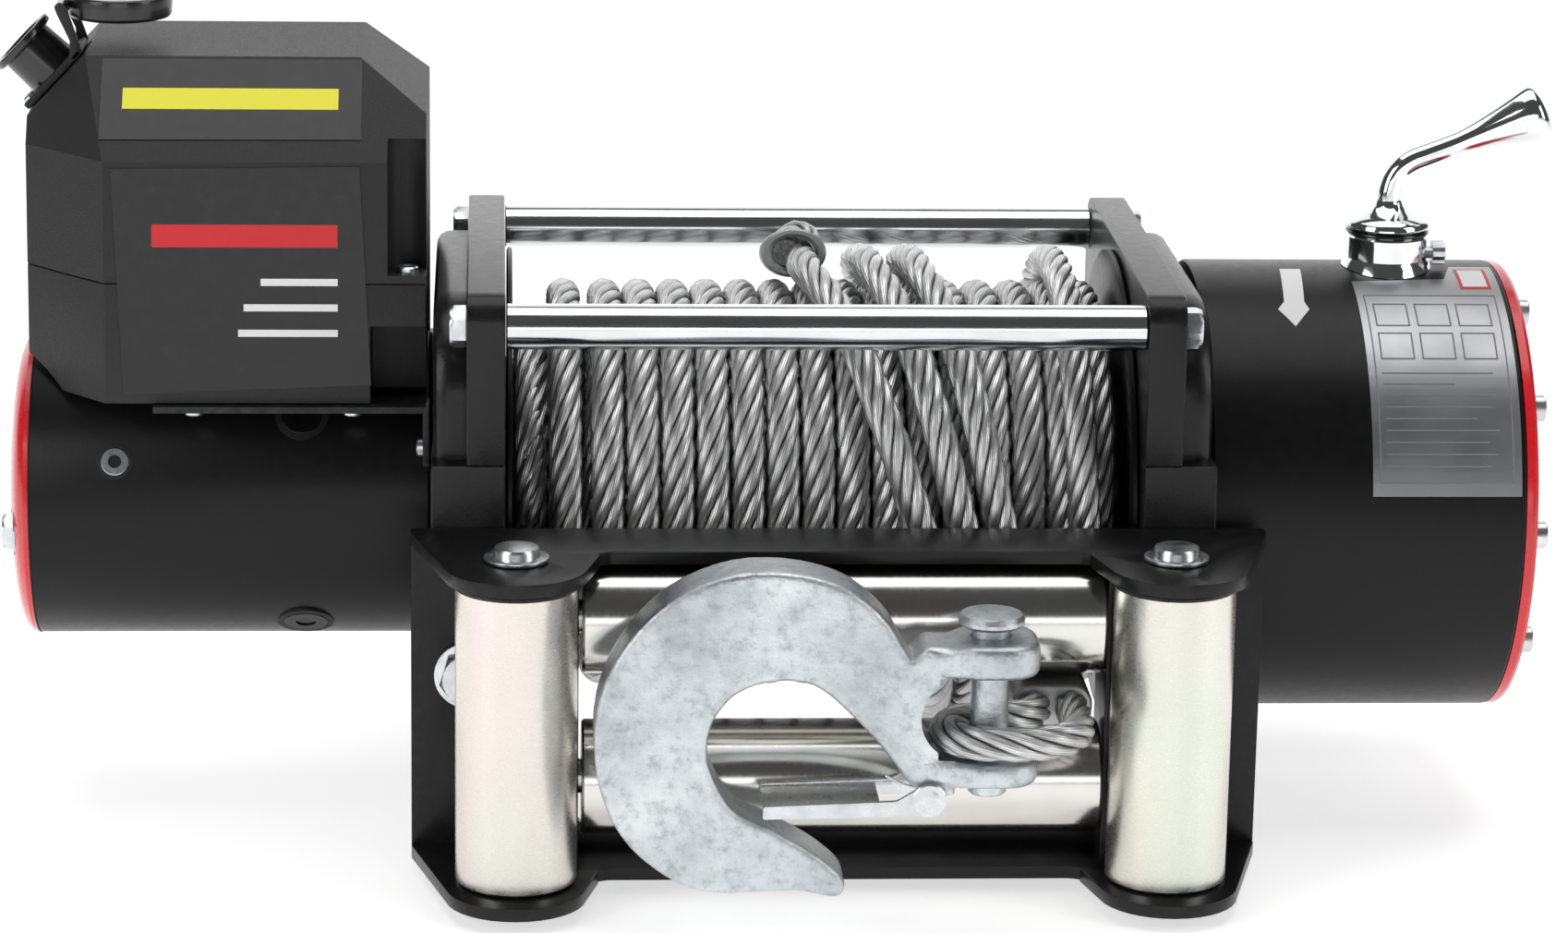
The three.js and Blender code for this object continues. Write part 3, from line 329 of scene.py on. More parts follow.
def rnd(pts, n=5):
    """round corners of [(x, y, r)]"""
    out = []; N = len(pts)
    for i in range(N):
        x, y, r = (*pts[i], 0)[:3]
        if not r: out.append((x, y)); continue
        p = Vector((x, y)); a = Vector(pts[i - 1][:2]); b = Vector(pts[(i + 1) % N][:2])
        u = (a - p).normalized(); v = (b - p).normalized()
        half = math.acos(max(-1, min(1, u.dot(v)))) / 2
        d = min(r / math.tan(half), (a - p).length * 0.49, (b - p).length * 0.49); rr = d * math.tan(half)
        c = p + (u + v).normalized() * rr / math.sin(half)
        p0 = p + u * d; p1 = p + v * d
        a0 = math.atan2(*(p0 - c).yx); a1 = math.atan2(*(p1 - c).yx)
        da = (a1 - a0 + math.pi) % (2 * math.pi) - math.pi
        for k in range(n + 1):
            t = a0 + da * k / n
            out.append((c.x + rr * math.cos(t), c.y + rr * math.sin(t)))
    return out
def cutter(o, *tools):
    for t in tools:
        m = o.modifiers.new("cut", "BOOLEAN"); m.operation = "DIFFERENCE"; m.object = t; m.solver = "EXACT"
    dg = bpy.context.evaluated_depsgraph_get()
    me = bpy.data.meshes.new_from_object(o.evaluated_get(dg))
    o.modifiers.clear(); old = o.data; o.data = me; bpy.data.meshes.remove(old)
    for t in tools: bpy.data.objects.remove(t)
    return o
def join(name, objs):
    me = bpy.data.meshes.new(name); bm = bmesh.new(); mats = []
    for o in objs:
        tmp = o.data.copy(); base = len(mats)
        mats.extend(list(o.data.materials))
        for p in tmp.polygons: p.material_index += base
        bm.from_mesh(tmp); bpy.data.meshes.remove(tmp)
        bpy.data.objects.remove(o)
    bm.to_mesh(me); bm.free()
    for m in mats: me.materials.append(m)
    return obj(name, me)
def put(o, body, slot=None, *nodes):
    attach(o, body)
    if nodes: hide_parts(*nodes)
    return o
def smooth_path(pts, n):
    """Catmull-Rom through pts, n points evenly spaced by length"""
    P = [Vector(p) for p in pts]; P = [P[0] * 2 - P[1]] + P + [P[-1] * 2 - P[-2]]
    out = []
    for i in range(1, len(P) - 2):
        p0, p1, p2, p3 = P[i - 1:i + 3]
        for k in range(12):
            t = k / 12
            out.append(0.5 * ((2 * p1) + (p2 - p0) * t + (2 * p0 - 5 * p1 + 4 * p2 - p3) * t * t + (3 * p1 - p0 - 3 * p2 + p3) * t ** 3))
    out.append(P[-2])
    L = [0.0]
    for a, b in zip(out, out[1:]): L.append(L[-1] + (b - a).length)
    res = []; j = 0
    for k in range(n):
        s = L[-1] * k / (n - 1)
        while j < len(L) - 2 and L[j + 1] < s: j += 1
        f = (s - L[j]) / max(1e-9, L[j + 1] - L[j])
        res.append(out[j].lerp(out[j + 1], min(1, f)))
    return res, L[-1]
def rope(name, pts, R=6.1, lay=62.0, strands=6, sides=10, phase=0.0, step=2.6, material=None):
    """six strands laid round a core, each a tube with UVs for its wires"""
    n = max(8, int(sum((Vector(b) - Vector(a)).length for a, b in zip(pts, pts[1:])) / step))
    path, L = smooth_path(pts, n)
    rs = R * 0.345; rc = R - rs
    T = [(path[min(i + 1, n - 1)] - path[max(i - 1, 0)]).normalized() for i in range(n)]
    N0 = T[0].orthogonal().normalized(); Ns = [N0]
    for i in range(1, n):
        v = Ns[-1] - T[i] * Ns[-1].dot(T[i]); Ns.append(v.normalized())
    verts, faces, uvs = [], [], []
    ds = L / (n - 1)
    for s in range(strands + 1):
        core = s == strands
        base = len(verts)
        for i in range(n):
            Bn = T[i].cross(Ns[i])
            th = phase + 2 * math.pi * (s / strands) + 2 * math.pi * i * ds / lay
            if core: c = path[i]; r = rc * 0.8; rd = Ns[i]; tg = Bn; td = T[i]
            else:
                rd = Ns[i] * math.cos(th) + Bn * math.sin(th)
                tg = -Ns[i] * math.sin(th) + Bn * math.cos(th)
                c = path[i] + rd * rc; r = rs
            td = (T[i] + tg * (2 * math.pi * rc / lay) * (0 if core else 1)).normalized()
            bi = td.cross(rd).normalized()
            for k in range(sides):
                a = 2 * math.pi * k / sides
                verts.append(c + (rd * math.cos(a) + bi * math.sin(a)) * r)
        for i in range(n - 1):
            for k in range(sides):
                k2 = (k + 1) % sides
                faces.append((base + i * sides + k, base + i * sides + k2, base + (i + 1) * sides + k2, base + (i + 1) * sides + k))
                v0, v1 = i * ds / lay * 1.35, (i + 1) * ds / lay * 1.35
                u0, u1 = k / sides, (k + 1) / sides
                uvs += [(u0, v0), (u1, v0), (u1, v1), (u0, v1)]
        for end, i in ((0, 0), (1, n - 1)):
            ring = [base + i * sides + k for k in range(sides)]
            faces.append(ring if end else ring[::-1]); uvs += [(0.5, 0)] * sides
    me = bpy.data.meshes.new(name)
    me.from_pydata([tuple(v * MM) for v in verts], [], faces)
    uvl = me.uv_layers.new(name="UVMap")
    uvl.data.foreach_set("uv", [c for uv in uvs for c in uv])
    me.polygons.foreach_set("use_smooth", [len(p.vertices) == 4 for p in me.polygons])
    me.materials.append(material or M_ROPE)
    me.update()
    return obj(name, me), path, L

# ------------------------------------------------------------- the cords
def axp(x, r, deg):
    t = math.radians(deg)
    return Vector((x, -r * math.cos(t), AX + r * math.sin(t)))
OUT_R = 81.9
ROPE_Z = AX - 46
lead_pts = []
a = -8.0
while a <= 303.6:
    x = 88.6 + 5.2 * (90 - a) / 107 if a < 90 else 88.6 - 3.6 * (a - 90) / 213
    lead_pts.append(axp(x, OUT_R, a)); a += 14.58
for i, (y, z) in enumerate([(-44, -70.2), (-56, -64.4), (-70, -58), (-81, -52.6), (-89.5, -48.6), (-97, -46.6)]):
    lead_pts.append(Vector((84.2 - i * 0.2 * 0, y, AX + z)))
lead, lead_path, lead_len = rope("rope_lead_strands", lead_pts, R=5.95, phase=0.3)
put(lead, "frame", "wire_rope", "rope_lead")

# ------------------------------------------------------------- rope on the drum
wind = []
cent = [-103.0, -90.7] + [-75.7 + 12.5 * k for k in range(15)]
A = -90.0
while A <= 360 * (len(cent) - 1) + 270:
    i = max(0, int((A + 46) // 360)); loc = A - 360 * i
    nx = cent[i + 1] if i + 1 < len(cent) else cent[i]
    t = max(0.0, min(1.0, (loc - 170) / 144)); t = t * t * (3 - 2 * t)
    r = 56.7 + (68.6 - 56.7) * t if i == 0 else 68.6
    wind.append(axp(cent[i] + (nx - cent[i]) * t, r, A))
    A += 18
w_obj, _, w_len = rope("rope_on_drum", wind, R=6.2, step=2.8)
put(w_obj, "drum_body", "wire_rope", "rope_winding")
# the layer below, seen only in the gaps
under = []
for i in range(18):
    for k in range(12): under.append(axp(-103 + (i + k / 12) * 11.6, 57.4, 30 * k))
u_obj, _, _ = rope("rope_lower_layer", under, R=6.0, step=8.0, sides=6)
put(u_obj, "drum_body", "wire_rope")
keys = []
top, low = [-3.5, 21.3, 38.2], [43.8, 56.6, 69.4]
keys.append((99, -3.4))
for k in range(3):
    if k: keys.append((110 - 360 * k, top[k] - 3))
    keys += [(84 - 360 * k, top[k] + (0 if k else 1)), (-17 - 360 * k, low[k]), (-60 - 360 * k, low[k] + 1)]
    if k < 2: keys.append((-150 - 360 * k, (low[k] + top[k + 1]) / 2))
keys.append((-850, 69))
out = []
for (a0, x0), (a1, x1) in zip(keys, keys[1:]):
    n = max(1, round(abs(a1 - a0) / 14))
    for j in range(n): out.append(axp(x0 + (x1 - x0) * j / n, OUT_R, a0 + (a1 - a0) * j / n))
out.append(axp(69, OUT_R, -850))
o_obj, _, _ = rope("rope_crossing_turns", out, R=6.1, phase=1.0, step=2.6)
put(o_obj, "drum_body", "wire_rope", "rope_outer_turns")
# sleeve at the rope end: an oval ring with the fused end showing in one lobe
p = axp(-6, 84.2, 103)
sl = lathe("rope_end_sleeve_oval", [(7.0, -7), (8.2, -7), (8.95, -6.2), (8.95, 6.2), (8.2, 7), (7.0, 7), (6.0, 6), (6.0, -6)], "y", (0, 0, 0), M_SLEEVE, 40, closed=True)
fz = lathe("fused_end", [(0, -6.2), (4.6, -6.2), (5.6, -5.4), (5.9, -4), (5.9, 6.0), (0, 6.4)], "y", (0, 0, 0), M_FUSED, 28)
for o, kx in ((sl, 1.35), (fz, 1.0)):
    for v in o.data.vertices: v.co.x *= kx
for v in fz.data.vertices: v.co.x -= 3.2 * MM
ends = join("rope_end_ferrule", [sl, fz])
ends.data.transform(Matrix.Translation(p * MM) @ Matrix.Rotation(math.radians(-13), 4, "X"))
put(ends, "drum_body", "crimp_zinc", "rope_end_sleeve")
# tail of the loop behind the sleeve
tail = [Vector((1.0, p.y + 9, p.z - 1)), Vector((0.5, p.y + 13, p.z + 3)), Vector((-3, p.y + 16, p.z + 4.5)), Vector((-8, p.y + 15, p.z + 2)), Vector((-11, p.y + 10, p.z - 1)), Vector((-10, p.y + 6, p.z - 2))]
t_obj, _, _ = rope("rope_end_loop", tail, R=4.6, step=2.0)
put(t_obj, "drum_body", "wire_rope")

# ------------------------------------------------------------------- drum
drum = lathe("drum_shell", [(37, -123), (46, -123), (46, -111.4), (85, -111.4), (86, -111.0), (86, -109.8), (85.2, -109.4), (44.45, -109.4), (44.45, 109.2), (85.2, 109.2), (86, 109.6), (86, 111.0), (85, 111.4), (46, 111.4), (46, 123), (37, 123)], "x", (0, 0, AX), M_HOUSE, 128, closed=True)
put(drum, "drum_body", "drum_paint", "drum")

# -------------------------------------------------------------- end plates
def end_plate(side):
    s = side; name = "motor" if s < 0 else "gearbox"
    X = lambda a, b: (a, b) if s > 0 else (-b, -a)
    b0, b1 = (-20, 12) if s > 0 else (-12, 20)
    web = prism("plate_web", rnd([(-93, 118.02), (-50, 118.02), (50, 118.02), (93, 118.02), (93, 178, 10), (-93, 178, 10)], 6), "yz", *X(112, 125.5), M_PLATE, 0.9, 3)
    wcut = lathe("wc", [(0, b0), (52, b0), (52, b1), (0, b1)], "x", (s * 112, 0, AX), M_PLATE, 64)
    cutter(web, wcut)
    boss = prism("plate_boss", rnd([(-84, 100), (84, 100), (84, AX + 83, 46), (-84, AX + 83, 46)], 10), "yz", *X(118, 137.4), M_PLATE, 6.5, 4)
    foot = prism("plate_foot", [(-93, 0), (-24, 0), (-16, 9), (16, 9), (24, 0), (93, 0), (93, 118), (60, 118), (52 * math.cos(0.6), 118), (0, 118), (-60, 118), (-93, 118)], "yz", *X(112, 138), M_PLATE, 1.1, 3)
    bore = lathe("bore", [(0, b0), (52, b0), (52, b1), (0, b1)], "x", (s * 112, 0, AX), M_PLATE, 64)
    cutter(foot, bore)
    for y in (-57.15, 57.15):
        h = lathe("h", [(0, -3), (6.75, -3), (6.75, 20), (0, 20)], "z", (s * 127, y, 0), M_PLATE, 24)
        q = prism("q", [(s * 117, y - 10), (s * 145, y - 10), (s * 145, y + 10), (s * 117, y + 10)] if s > 0 else [(s * 145, y - 10), (s * 117, y - 10), (s * 117, y + 10), (s * 145, y + 10)], "xy", 17, 29, M_PLATE)
        cutter(foot, h, q)
    o = join("end_plate_%s_casting" % name, [web, boss, foot])
    shade(o.data, 30)
    return put(o, "frame", "plate_paint", "end_plate_%s_side" % name)
end_plate(-1); end_plate(1)
for n, y in (("front", -84), ("rear", 84)):
    bar = lathe("tie_bar_%s_bright" % n, [(4.6, -110), (4.6, -111.7), (7.6, -111.7), (8, -111.3), (8, 111.3), (7.6, 111.7), (4.6, 111.7), (4.6, 110)], "x", (0, y, 166), M_BAR, 64, closed=True)
    put(bar, "frame", "chrome", "tie_bar_%s" % n)

def hex_bolt(name, c, axis, af, h, material, washer=None, spin=0.0):
    """hex head standing on its base at c along axis, with the chamfered top a turned head has"""
    A = Vector(axis).normalized()
    R = af / math.sqrt(3)
    pts = [(R * math.cos(math.pi / 3 * i + spin), R * math.sin(math.pi / 3 * i + spin)) for i in range(6)]
    U = A.orthogonal().normalized(); W = A.cross(U)
    verts, faces = [], []
    rings = [(1.0, 0.0), (1.0, h * 0.72), (0.90, h * 0.94), (0.84, h)]
    C = Vector(c)
    for k, a in rings:
        for i in range(24):
            t = 2 * math.pi * i / 24 + spin
            seg = (t - spin) % (math.pi / 3) - math.pi / 6
            rr = (af / 2) / math.cos(seg)
            if k < 1.0: rr = min(rr, af / 2 * (1.0 + (k - 0.84) * 0.75) )
            verts.append(C + A * a + (U * math.cos(t) + W * math.sin(t)) * rr)
    for r in range(3):
        for i in range(24):
            j = (i + 1) % 24
            faces.append((r * 24 + i, r * 24 + j, (r + 1) * 24 + j, (r + 1) * 24 + i))
    faces.append(tuple(range(72, 96))); faces.append(tuple(reversed(range(24))))
    o = make(name, [tuple(v) for v in verts], faces, material, True, 28)
    if washer:
        w = lathe(name + "_w", [(washer[0], -0.1), (washer[1] - 0.4, -0.1), (washer[1], 0.2), (washer[1], washer[2] - 0.2), (washer[1] - 0.4, washer[2]), (washer[0], washer[2])], A, c, material, 36, closed=True)
        o = join(name, [o, w])
    return o
for n, y in (("front", -84), ("rear", 84)):
    for sd, s in (("left", -1), ("right", 1)):
        o = hex_bolt("bar_bolt_head_%s_%s" % (n, sd), (s * 125.8, y, 166), (s, 0, 0), 13, 5.6, M_ZINC, None, 0.3)
        put(o, "frame", "zinc_fastener", "tie_bar_bolt_%s_%s" % (n, sd))

# ----------------------------------------------------------------- motor
mh = lathe("motor_can", [(49.8, -281), (55.0, -281), (55.2, -280.6), (55.2, -139.6), (54.6, -138.6), (49.8, -138.6)], "x", (0, 0, AX), M_HOUSE, 144, closed=True)
put(mh, "frame", "motor_paint", "motor_housing")
mc = lathe("motor_cap_dome", [(0, -291), (14, -290.9), (20, -290.2), (33, -289.3), (42, -288.2), (49, -286.7), (53.2, -284.8), (54.8, -283.0), (55.1, -281.3), (0, -281.3)], "x", (0, 0, AX), M_RED, 144)
cut1 = [lathe("c", [(0, -300), (8.6, -300), (8.6, -286.6), (0, -286.6)], "x", (0, y, z), M_RED, 40) for y, z in ((-40, 80), (40, 96))]
cutter(mc, *cut1); shade(mc.data, 25)
put(mc, "frame", "red_cover", "motor_end_cover")
ms = lathe("motor_cap_seam", [(54.2, -281.35), (55.32, -281.35), (55.32, -280.9), (54.2, -280.9)], "x", (0, 0, AX), M_DARKGASKET, 144, closed=True)
put(ms, "frame", "motor_paint")
for n, y, z in (("front", -40, 80), ("rear", 40, 96)):
    o = hex_bolt("motor_bolt_head_" + n, (-286.6, y, z), (-1, 0, 0), 12, 5.0, M_ZINC, (3, 8.0, 0.9), 0.2)
    put(o, "frame", "zinc_fastener", "motor_through_bolt_" + n)
# pole screws and plugs on the can, each on its radius
def on_can(px_x, deg, R=55.2, cx=0):
    t = math.radians(deg)
    return Vector((px_x, -R * math.cos(t), AX + R * math.sin(t))), Vector((0, -math.cos(t), math.sin(t)))
def socket_head(name, c, axis, r, h, material, hexr=None, recess=1.2):
    prof = [(0, 0), (r, 0), (r, h - 0.5), (r - 0.5, h)]
    if hexr: prof += [(hexr, h), (hexr * 0.96, h - recess), (0, h - recess)]
    else: prof += [(r * 0.5, h * 1.06), (0, h * 1.1)]
    return lathe(name, prof, axis, c, material, 28, 28)
for i, (x, deg, r, m) in enumerate(((-250.5, 22, 5.2, M_ZINC), (-184, -52, 8.2, M_HOUSE), (-184.5, 40, 7.6, M_HOUSE), (-250.5, 150, 5.2, M_ZINC), (-184, 200, 8.2, M_HOUSE))):
    c, ax = on_can(x, deg)
    rim = lathe("rim", [(r * 0.98, -1.2), (r * 1.25, -1.2), (r * 1.25, 0.12), (r * 0.98, 0.3)], ax, c, M_HOLE, 32, closed=True)
    hd = socket_head("hd", c - ax * 1.0, ax, r, 1.5, m, r * 0.45, 0.9)
    put(join("motor_pole_screw_%d" % (i + 1), [rim, hd]), "frame", "zinc_fastener")

# --------------------------------------------------------------- gearbox
gh = lathe("gearbox_can", [(77, 138.6), (81.8, 138.6), (82.5, 139.4), (82.5, 250.4), (82.1, 251), (77, 251)], "x", (0, 0, AX), M_HOUSE, 176, closed=True)
hole = lathe("hole", [(0, 60), (10.5, 60), (10.5, 100), (0, 100)], "z", (211.5, 0, AX), M_HOUSE, 40)
cutter(gh, hole); shade(gh.data, 25)
put(gh, "frame", "gearbox_paint", "gear_housing")
gc = lathe("gearbox_cover_dish", [(0, 251.3), (82.2, 251.3), (82.3, 251.7), (82.3, 254.2), (81.6, 255.4), (80.4, 255.8), (66, 255.8), (64.5, 255.2), (24, 255.2), (22, 254.6), (0, 254.6)], "x", (0, 0, AX), M_RED, 176)
put(gc, "frame", "red_cover", "gear_end_cover")
CAD_SCREW = {72: 1, 36: 2, -36: 3, -72: 4}
for k in range(10):
    deg = -180 + 36 * k
    t = math.radians(deg)
    c = (255.9, -73.5 * math.cos(t), AX + 73.5 * math.sin(t))
    o = socket_head("cover_screw_%02d" % k, c, (1, 0, 0), 4.9, 4.3, M_ZINC, 2.6, 2.4)
    nodes_ = ["gear_cover_screw_%d" % CAD_SCREW[deg]] if deg in CAD_SCREW else []
    put(o, "frame", "zinc_fastener", *nodes_)

# ---------------------------------------------------------------- clutch
CXc, CZ = 211.5, AX + 82.5
cb = lathe("clutch_tower", [(9.6, -8.4), (17.6, -8.4), (17.2, -1.5), (15.6, 2.2), (14.9, 3.4), (14.9, 11.2), (14.4, 11.9), (9.6, 11.9)], "z", (CXc, 0, CZ), M_CHROME, 72, closed=True)
cyl_cut = lathe("gc", [(0, 150), (82.75, 150), (82.75, 260), (0, 260)], "x", (0, 0, AX), M_CHROME, 120)
cutter(cb, cyl_cut); shade(cb.data, 28)
put(cb, "frame", "chrome", "clutch_base")
sr = lathe("clutch_o_ring", [(9.8, 12.1), (14.5, 12.1), (15.1, 12.6), (15.25, 13.1), (15.1, 13.6), (14.5, 13.95), (9.8, 13.95)], "z", (CXc, 0, CZ), M_RUB, 64, closed=True)
put(sr, "frame", "rubber", "clutch_seal_ring")
cap = lathe("lever_cap", [(0, 14.2), (14.9, 14.2), (15.6, 15.0), (15.5, 16.6), (14.6, 17.7), (11.5, 18.9), (8.0, 20.6), (5.6, 22.6), (4.7, 24.6), (0, 25)], "z", (CXc, 0, CZ), M_CHROME, 72, 40)
arm_pts = [(0, 21), (0.0, 25), (0.5, 29), (1.7, 32.8), (4.4, 36.6), (8.4, 39.4), (13.2, 41.3), (18, 43.1), (22.4, 44.8)]
path, _ = smooth_path([(CXc + x, 0, CZ + z) for x, z in arm_pts], 40)
knob_a = (Vector((CXc + 22, 0, CZ + 44.6)), Vector((0.927, 0, 0.372)).normalized())
full = list(path)
radii = [4.6 - 0.5 * min(1, i / 14) for i in range(len(full))]
for s_, r_ in ((3, 4.15), (6, 4.5), (10, 5.25), (14, 6.2), (18, 7.25), (22, 8.4), (26, 9.6), (29, 10.5), (31.2, 10.95), (32.8, 11.05), (34.0, 10.75), (35.0, 10.0), (35.9, 8.6), (36.5, 6.9), (36.9, 4.8), (37.1, 2.4), (37.15, 0.01)):
    full.append(knob_a[0] + knob_a[1] * s_); radii.append(r_)
full = [q for i, q in enumerate(full)]
verts, faces = [], []
Y = Vector((0, 1, 0)); SG = 40
for i, q in enumerate(full):
    t = (full[min(i + 1, len(full) - 1)] - full[max(0, i - 1)]).normalized(); nrm = Y.cross(t).normalized()
    for k in range(SG):
        a = 2 * math.pi * k / SG
        verts.append(q + (nrm * math.cos(a) + Y * math.sin(a)) * radii[i])
for i in range(len(full) - 1):
    for k in range(SG):
        k2 = (k + 1) % SG
        faces.append((i * SG + k, i * SG + k2, (i + 1) * SG + k2, (i + 1) * SG + k))
faces.append(tuple(range(SG))); faces.append(tuple(range((len(full) - 1) * SG, len(full) * SG)))
arm = make("lever_arm", [tuple(v) for v in verts], faces, M_CHROME, True, 50)
put(join("clutch_lever_cranked", [cap, arm]), "clutch_handle", "chrome", "clutch_lever")

# ------------------------------------------------------------ control box
BL, BR = -282.5, -139.9
Zb, Zp, Zk, Zt = AX + 43.6, AX + 86, AX + 128.8, AX + 160.2
def hull(name, pts, material):
    bm = bmesh.new()
    for q in pts: bm.verts.new(Vector(q) * MM)
    bmesh.ops.convex_hull(bm, input=bm.verts)
    loose = [v for v in bm.verts if not v.link_faces]
    bmesh.ops.delete(bm, geom=loose, context="VERTS")
    bmesh.ops.dissolve_limit(bm, angle_limit=math.radians(1.5), verts=bm.verts, edges=bm.edges)
    bmesh.ops.recalc_face_normals(bm, faces=bm.faces)
    me = bpy.data.meshes.new(name); bm.to_mesh(me); bm.free(); me.materials.append(material)
    return obj(name, me)
def shell_pts():
    P = []
    P += [(-253, -58, Zb), (BR, -58, Zb), (BL, -24, Zb), (BL, 62, Zb), (BR, 62, Zb)]
    P += [(-253, -50, Zk), (BR, -50, Zk), (BL, -18, Zk), (BL, 61, Zk)]
    P += [(BL, -10, AX + 137.5), (BL, 60, AX + 137.5), (BR, -34, AX + 143.5), (BR, 60, AX + 143.5)]
    for x in (-261, -163.5): P += [(x, -15, Zt), (x, 60, Zt)]
    return P
def boxo(name, x0, x1, y0, y1, z0, z1, m=None):
    return prism(name, [(x0, y0), (x1, y0), (x1, y1), (x0, y1)], "xy", z0, z1, m or M_BOX)
def bevel_sharp(o, w, seg=3, lim=22):
    bm = bmesh.new(); bm.from_mesh(o.data)
    bmesh.ops.dissolve_limit(bm, angle_limit=math.radians(1.2), verts=bm.verts, edges=bm.edges)
    es = [e for e in bm.edges if len(e.link_faces) == 2 and e.calc_face_angle(0) > math.radians(lim)]
    bmesh.ops.bevel(bm, geom=es, offset=w * MM, segments=seg, profile=0.6, affect="EDGES", clamp_overlap=True)
    bm.to_mesh(o.data); bm.free(); shade(o.data, 30)
    return o
saddle = lambda: lathe("saddle", [(0, -300), (58.6, -300), (58.6, -100), (0, -100)], "x", (0, 0, AX), M_BOX, 96)
lower = hull("box_base_shell", shell_pts(), M_BOX)
cutter(lower, saddle(), boxo("k", -300, -100, -100, 100, Zp - 0.1, 400), boxo("n", -159.5, -120, -80, -38, Zb - 5, AX + 71))
bevel_sharp(lower, 1.3)
put(lower, "frame", "box_plastic", "control_box_base")
upper = hull("box_cover_shell", shell_pts(), M_BOX)
pil = boxo("p1", -153.5, -130, -80, -44, Zp + 3, AX + 136)
pil2 = lathe("p2", [(0, Zp + 3), (7, Zp + 3), (7, AX + 136), (0, AX + 136)], "z", (-146.5, -44, 0), M_BOX, 40)
cutter(upper, boxo("k", -300, -100, -100, 100, 0, Zp + 0.3), pil, pil2)
bevel_sharp(upper, 1.5)
put(upper, "frame", "box_plastic", "control_box_cover")
sc = socket_head("box_cover_screw", (-146.5, -46.6, Zp + 0.3), (0, 0, 1), 3.8, 5.0, M_ZINC, 1.6, 1.4)
put(sc, "frame", "zinc_fastener")

# blank panels on the sloped front: thin plates lying on the faces
def on_face(name, a, b, c, pts, off, th, material, bev=0.0):
    """a, b, c: three points of the face; pts: outline by (x, z) read on the face seen from -Y"""
    A, Bv, C = Vector(a), Vector(b), Vector(c)
    n = (Bv - A).cross(C - A).normalized()
    if n.y > 0: n = -n
    def yof(x, z): return A.y - (n.x * (x - A.x) + n.z * (z - A.z)) / n.y
    verts, faces = [], []
    for k in (off, off + th):
        for x, z in pts:
            verts.append(Vector((x, yof(x, z), z)) + n * k)
    m = len(pts)
    faces.append(tuple(range(m, 2 * m))); faces.append(tuple(reversed(range(m))))
    for i in range(m): faces.append((i, (i + 1) % m, m + (i + 1) % m, m + i))
    return make(name, [tuple(v) for v in verts], faces, material, True, 20)
low_face = ((-253, -58, Zb), (BR, -58, Zb), (BR, -50, Zk))
up_face = ((-253, -50, Zk), (BR, -50, Zk), (-163.5, -15, Zt))
o = on_face("panel_upper_plain", *up_face, [(-254.6, AX + 135.2), (-162.8, AX + 135.4), (-162.8, AX + 159.2), (-254.8, AX + 159.2)], 0.05, 0.3, M_PANEL)
put(o, "frame", "box_plastic")
o = on_face("panel_upper_bar", *up_face, [(-247, AX + 144.2), (-171, AX + 144.2), (-171, AX + 150.4), (-247, AX + 150.4)], 0.36, 0.12, M_YEL)
put(o, "frame", "box_plastic")
# the lower panel spans the seam; it is one plain plate with the bars laid on it
o = on_face("panel_lower_plain", *low_face, [(-246.4, AX + 47), (-159.4, AX + 50.4), (-163.2, AX + 127.4), (-250.2, AX + 126.4)], 0.05, 0.3, M_PANEL)
put(o, "frame", "box_plastic")
bars = [on_face("b", *low_face, q, 0.36, 0.12, m) for q, m in (
    ([(-236, AX + 99), (-171, AX + 99), (-171, AX + 107), (-236, AX + 107)], M_REDP),
    ([(-198, AX + 85.5), (-171, AX + 85.5), (-171, AX + 88), (-198, AX + 88)], M_WHITE),
    ([(-204, AX + 76.5), (-171, AX + 76.5), (-171, AX + 79), (-204, AX + 79)], M_WHITE),
    ([(-206, AX + 67.5), (-171, AX + 67.5), (-171, AX + 70), (-206, AX + 70)], M_WHITE))]
put(join("panel_lower_bars", bars), "frame", "box_plastic")
# bracket screws under the box and on the plate
for i, (x, y, z, ax) in enumerate(((-222, -58, AX + 40.6, (0, 0, -1)), (-166, -58, AX + 40.6, (0, 0, -1)))):
    put(socket_head("bracket_screw_%d" % i, (x, y + 4, z + 0.3), ax, 3.6, 2.2, M_ZINC), "frame", "zinc_fastener")
br = prism("bracket_lip", [(-236, AX + 40.9), (-140, AX + 40.9), (-140, AX + 43.3), (-236, AX + 43.3)], "xz", -61.6, -40, M_SHEET, 0.4)
leg = prism("bracket_leg", rnd([(-62, AX + 43.3), (-62, AX + 22, 5), (-50, AX + 16, 3), (-47, AX + 43.3)]), "yz", -141.1, -138.7, M_SHEET, 0.4)
leg2 = prism("bracket_leg2", rnd([(47, AX + 43.3), (50, AX + 16, 3), (62, AX + 22, 5), (62, AX + 43.3)]), "yz", -141.1, -138.7, M_SHEET, 0.4)
br2 = prism("bracket_lip2", [(-236, AX + 40.9), (-140, AX + 40.9), (-140, AX + 43.3), (-236, AX + 43.3)], "xz", 40, 61.6, M_SHEET, 0.4)
put(join("control_box_bracket_sheet", [br, leg, leg2, br2]), "frame", "bracket_paint", "control_box_bracket")
put(socket_head("bracket_leg_screw", (-141.2, -57, AX + 28), (-1, 0, 0), 3.6, 2.2, M_ZINC, 1.8, 1.2), "frame", "zinc_fastener")

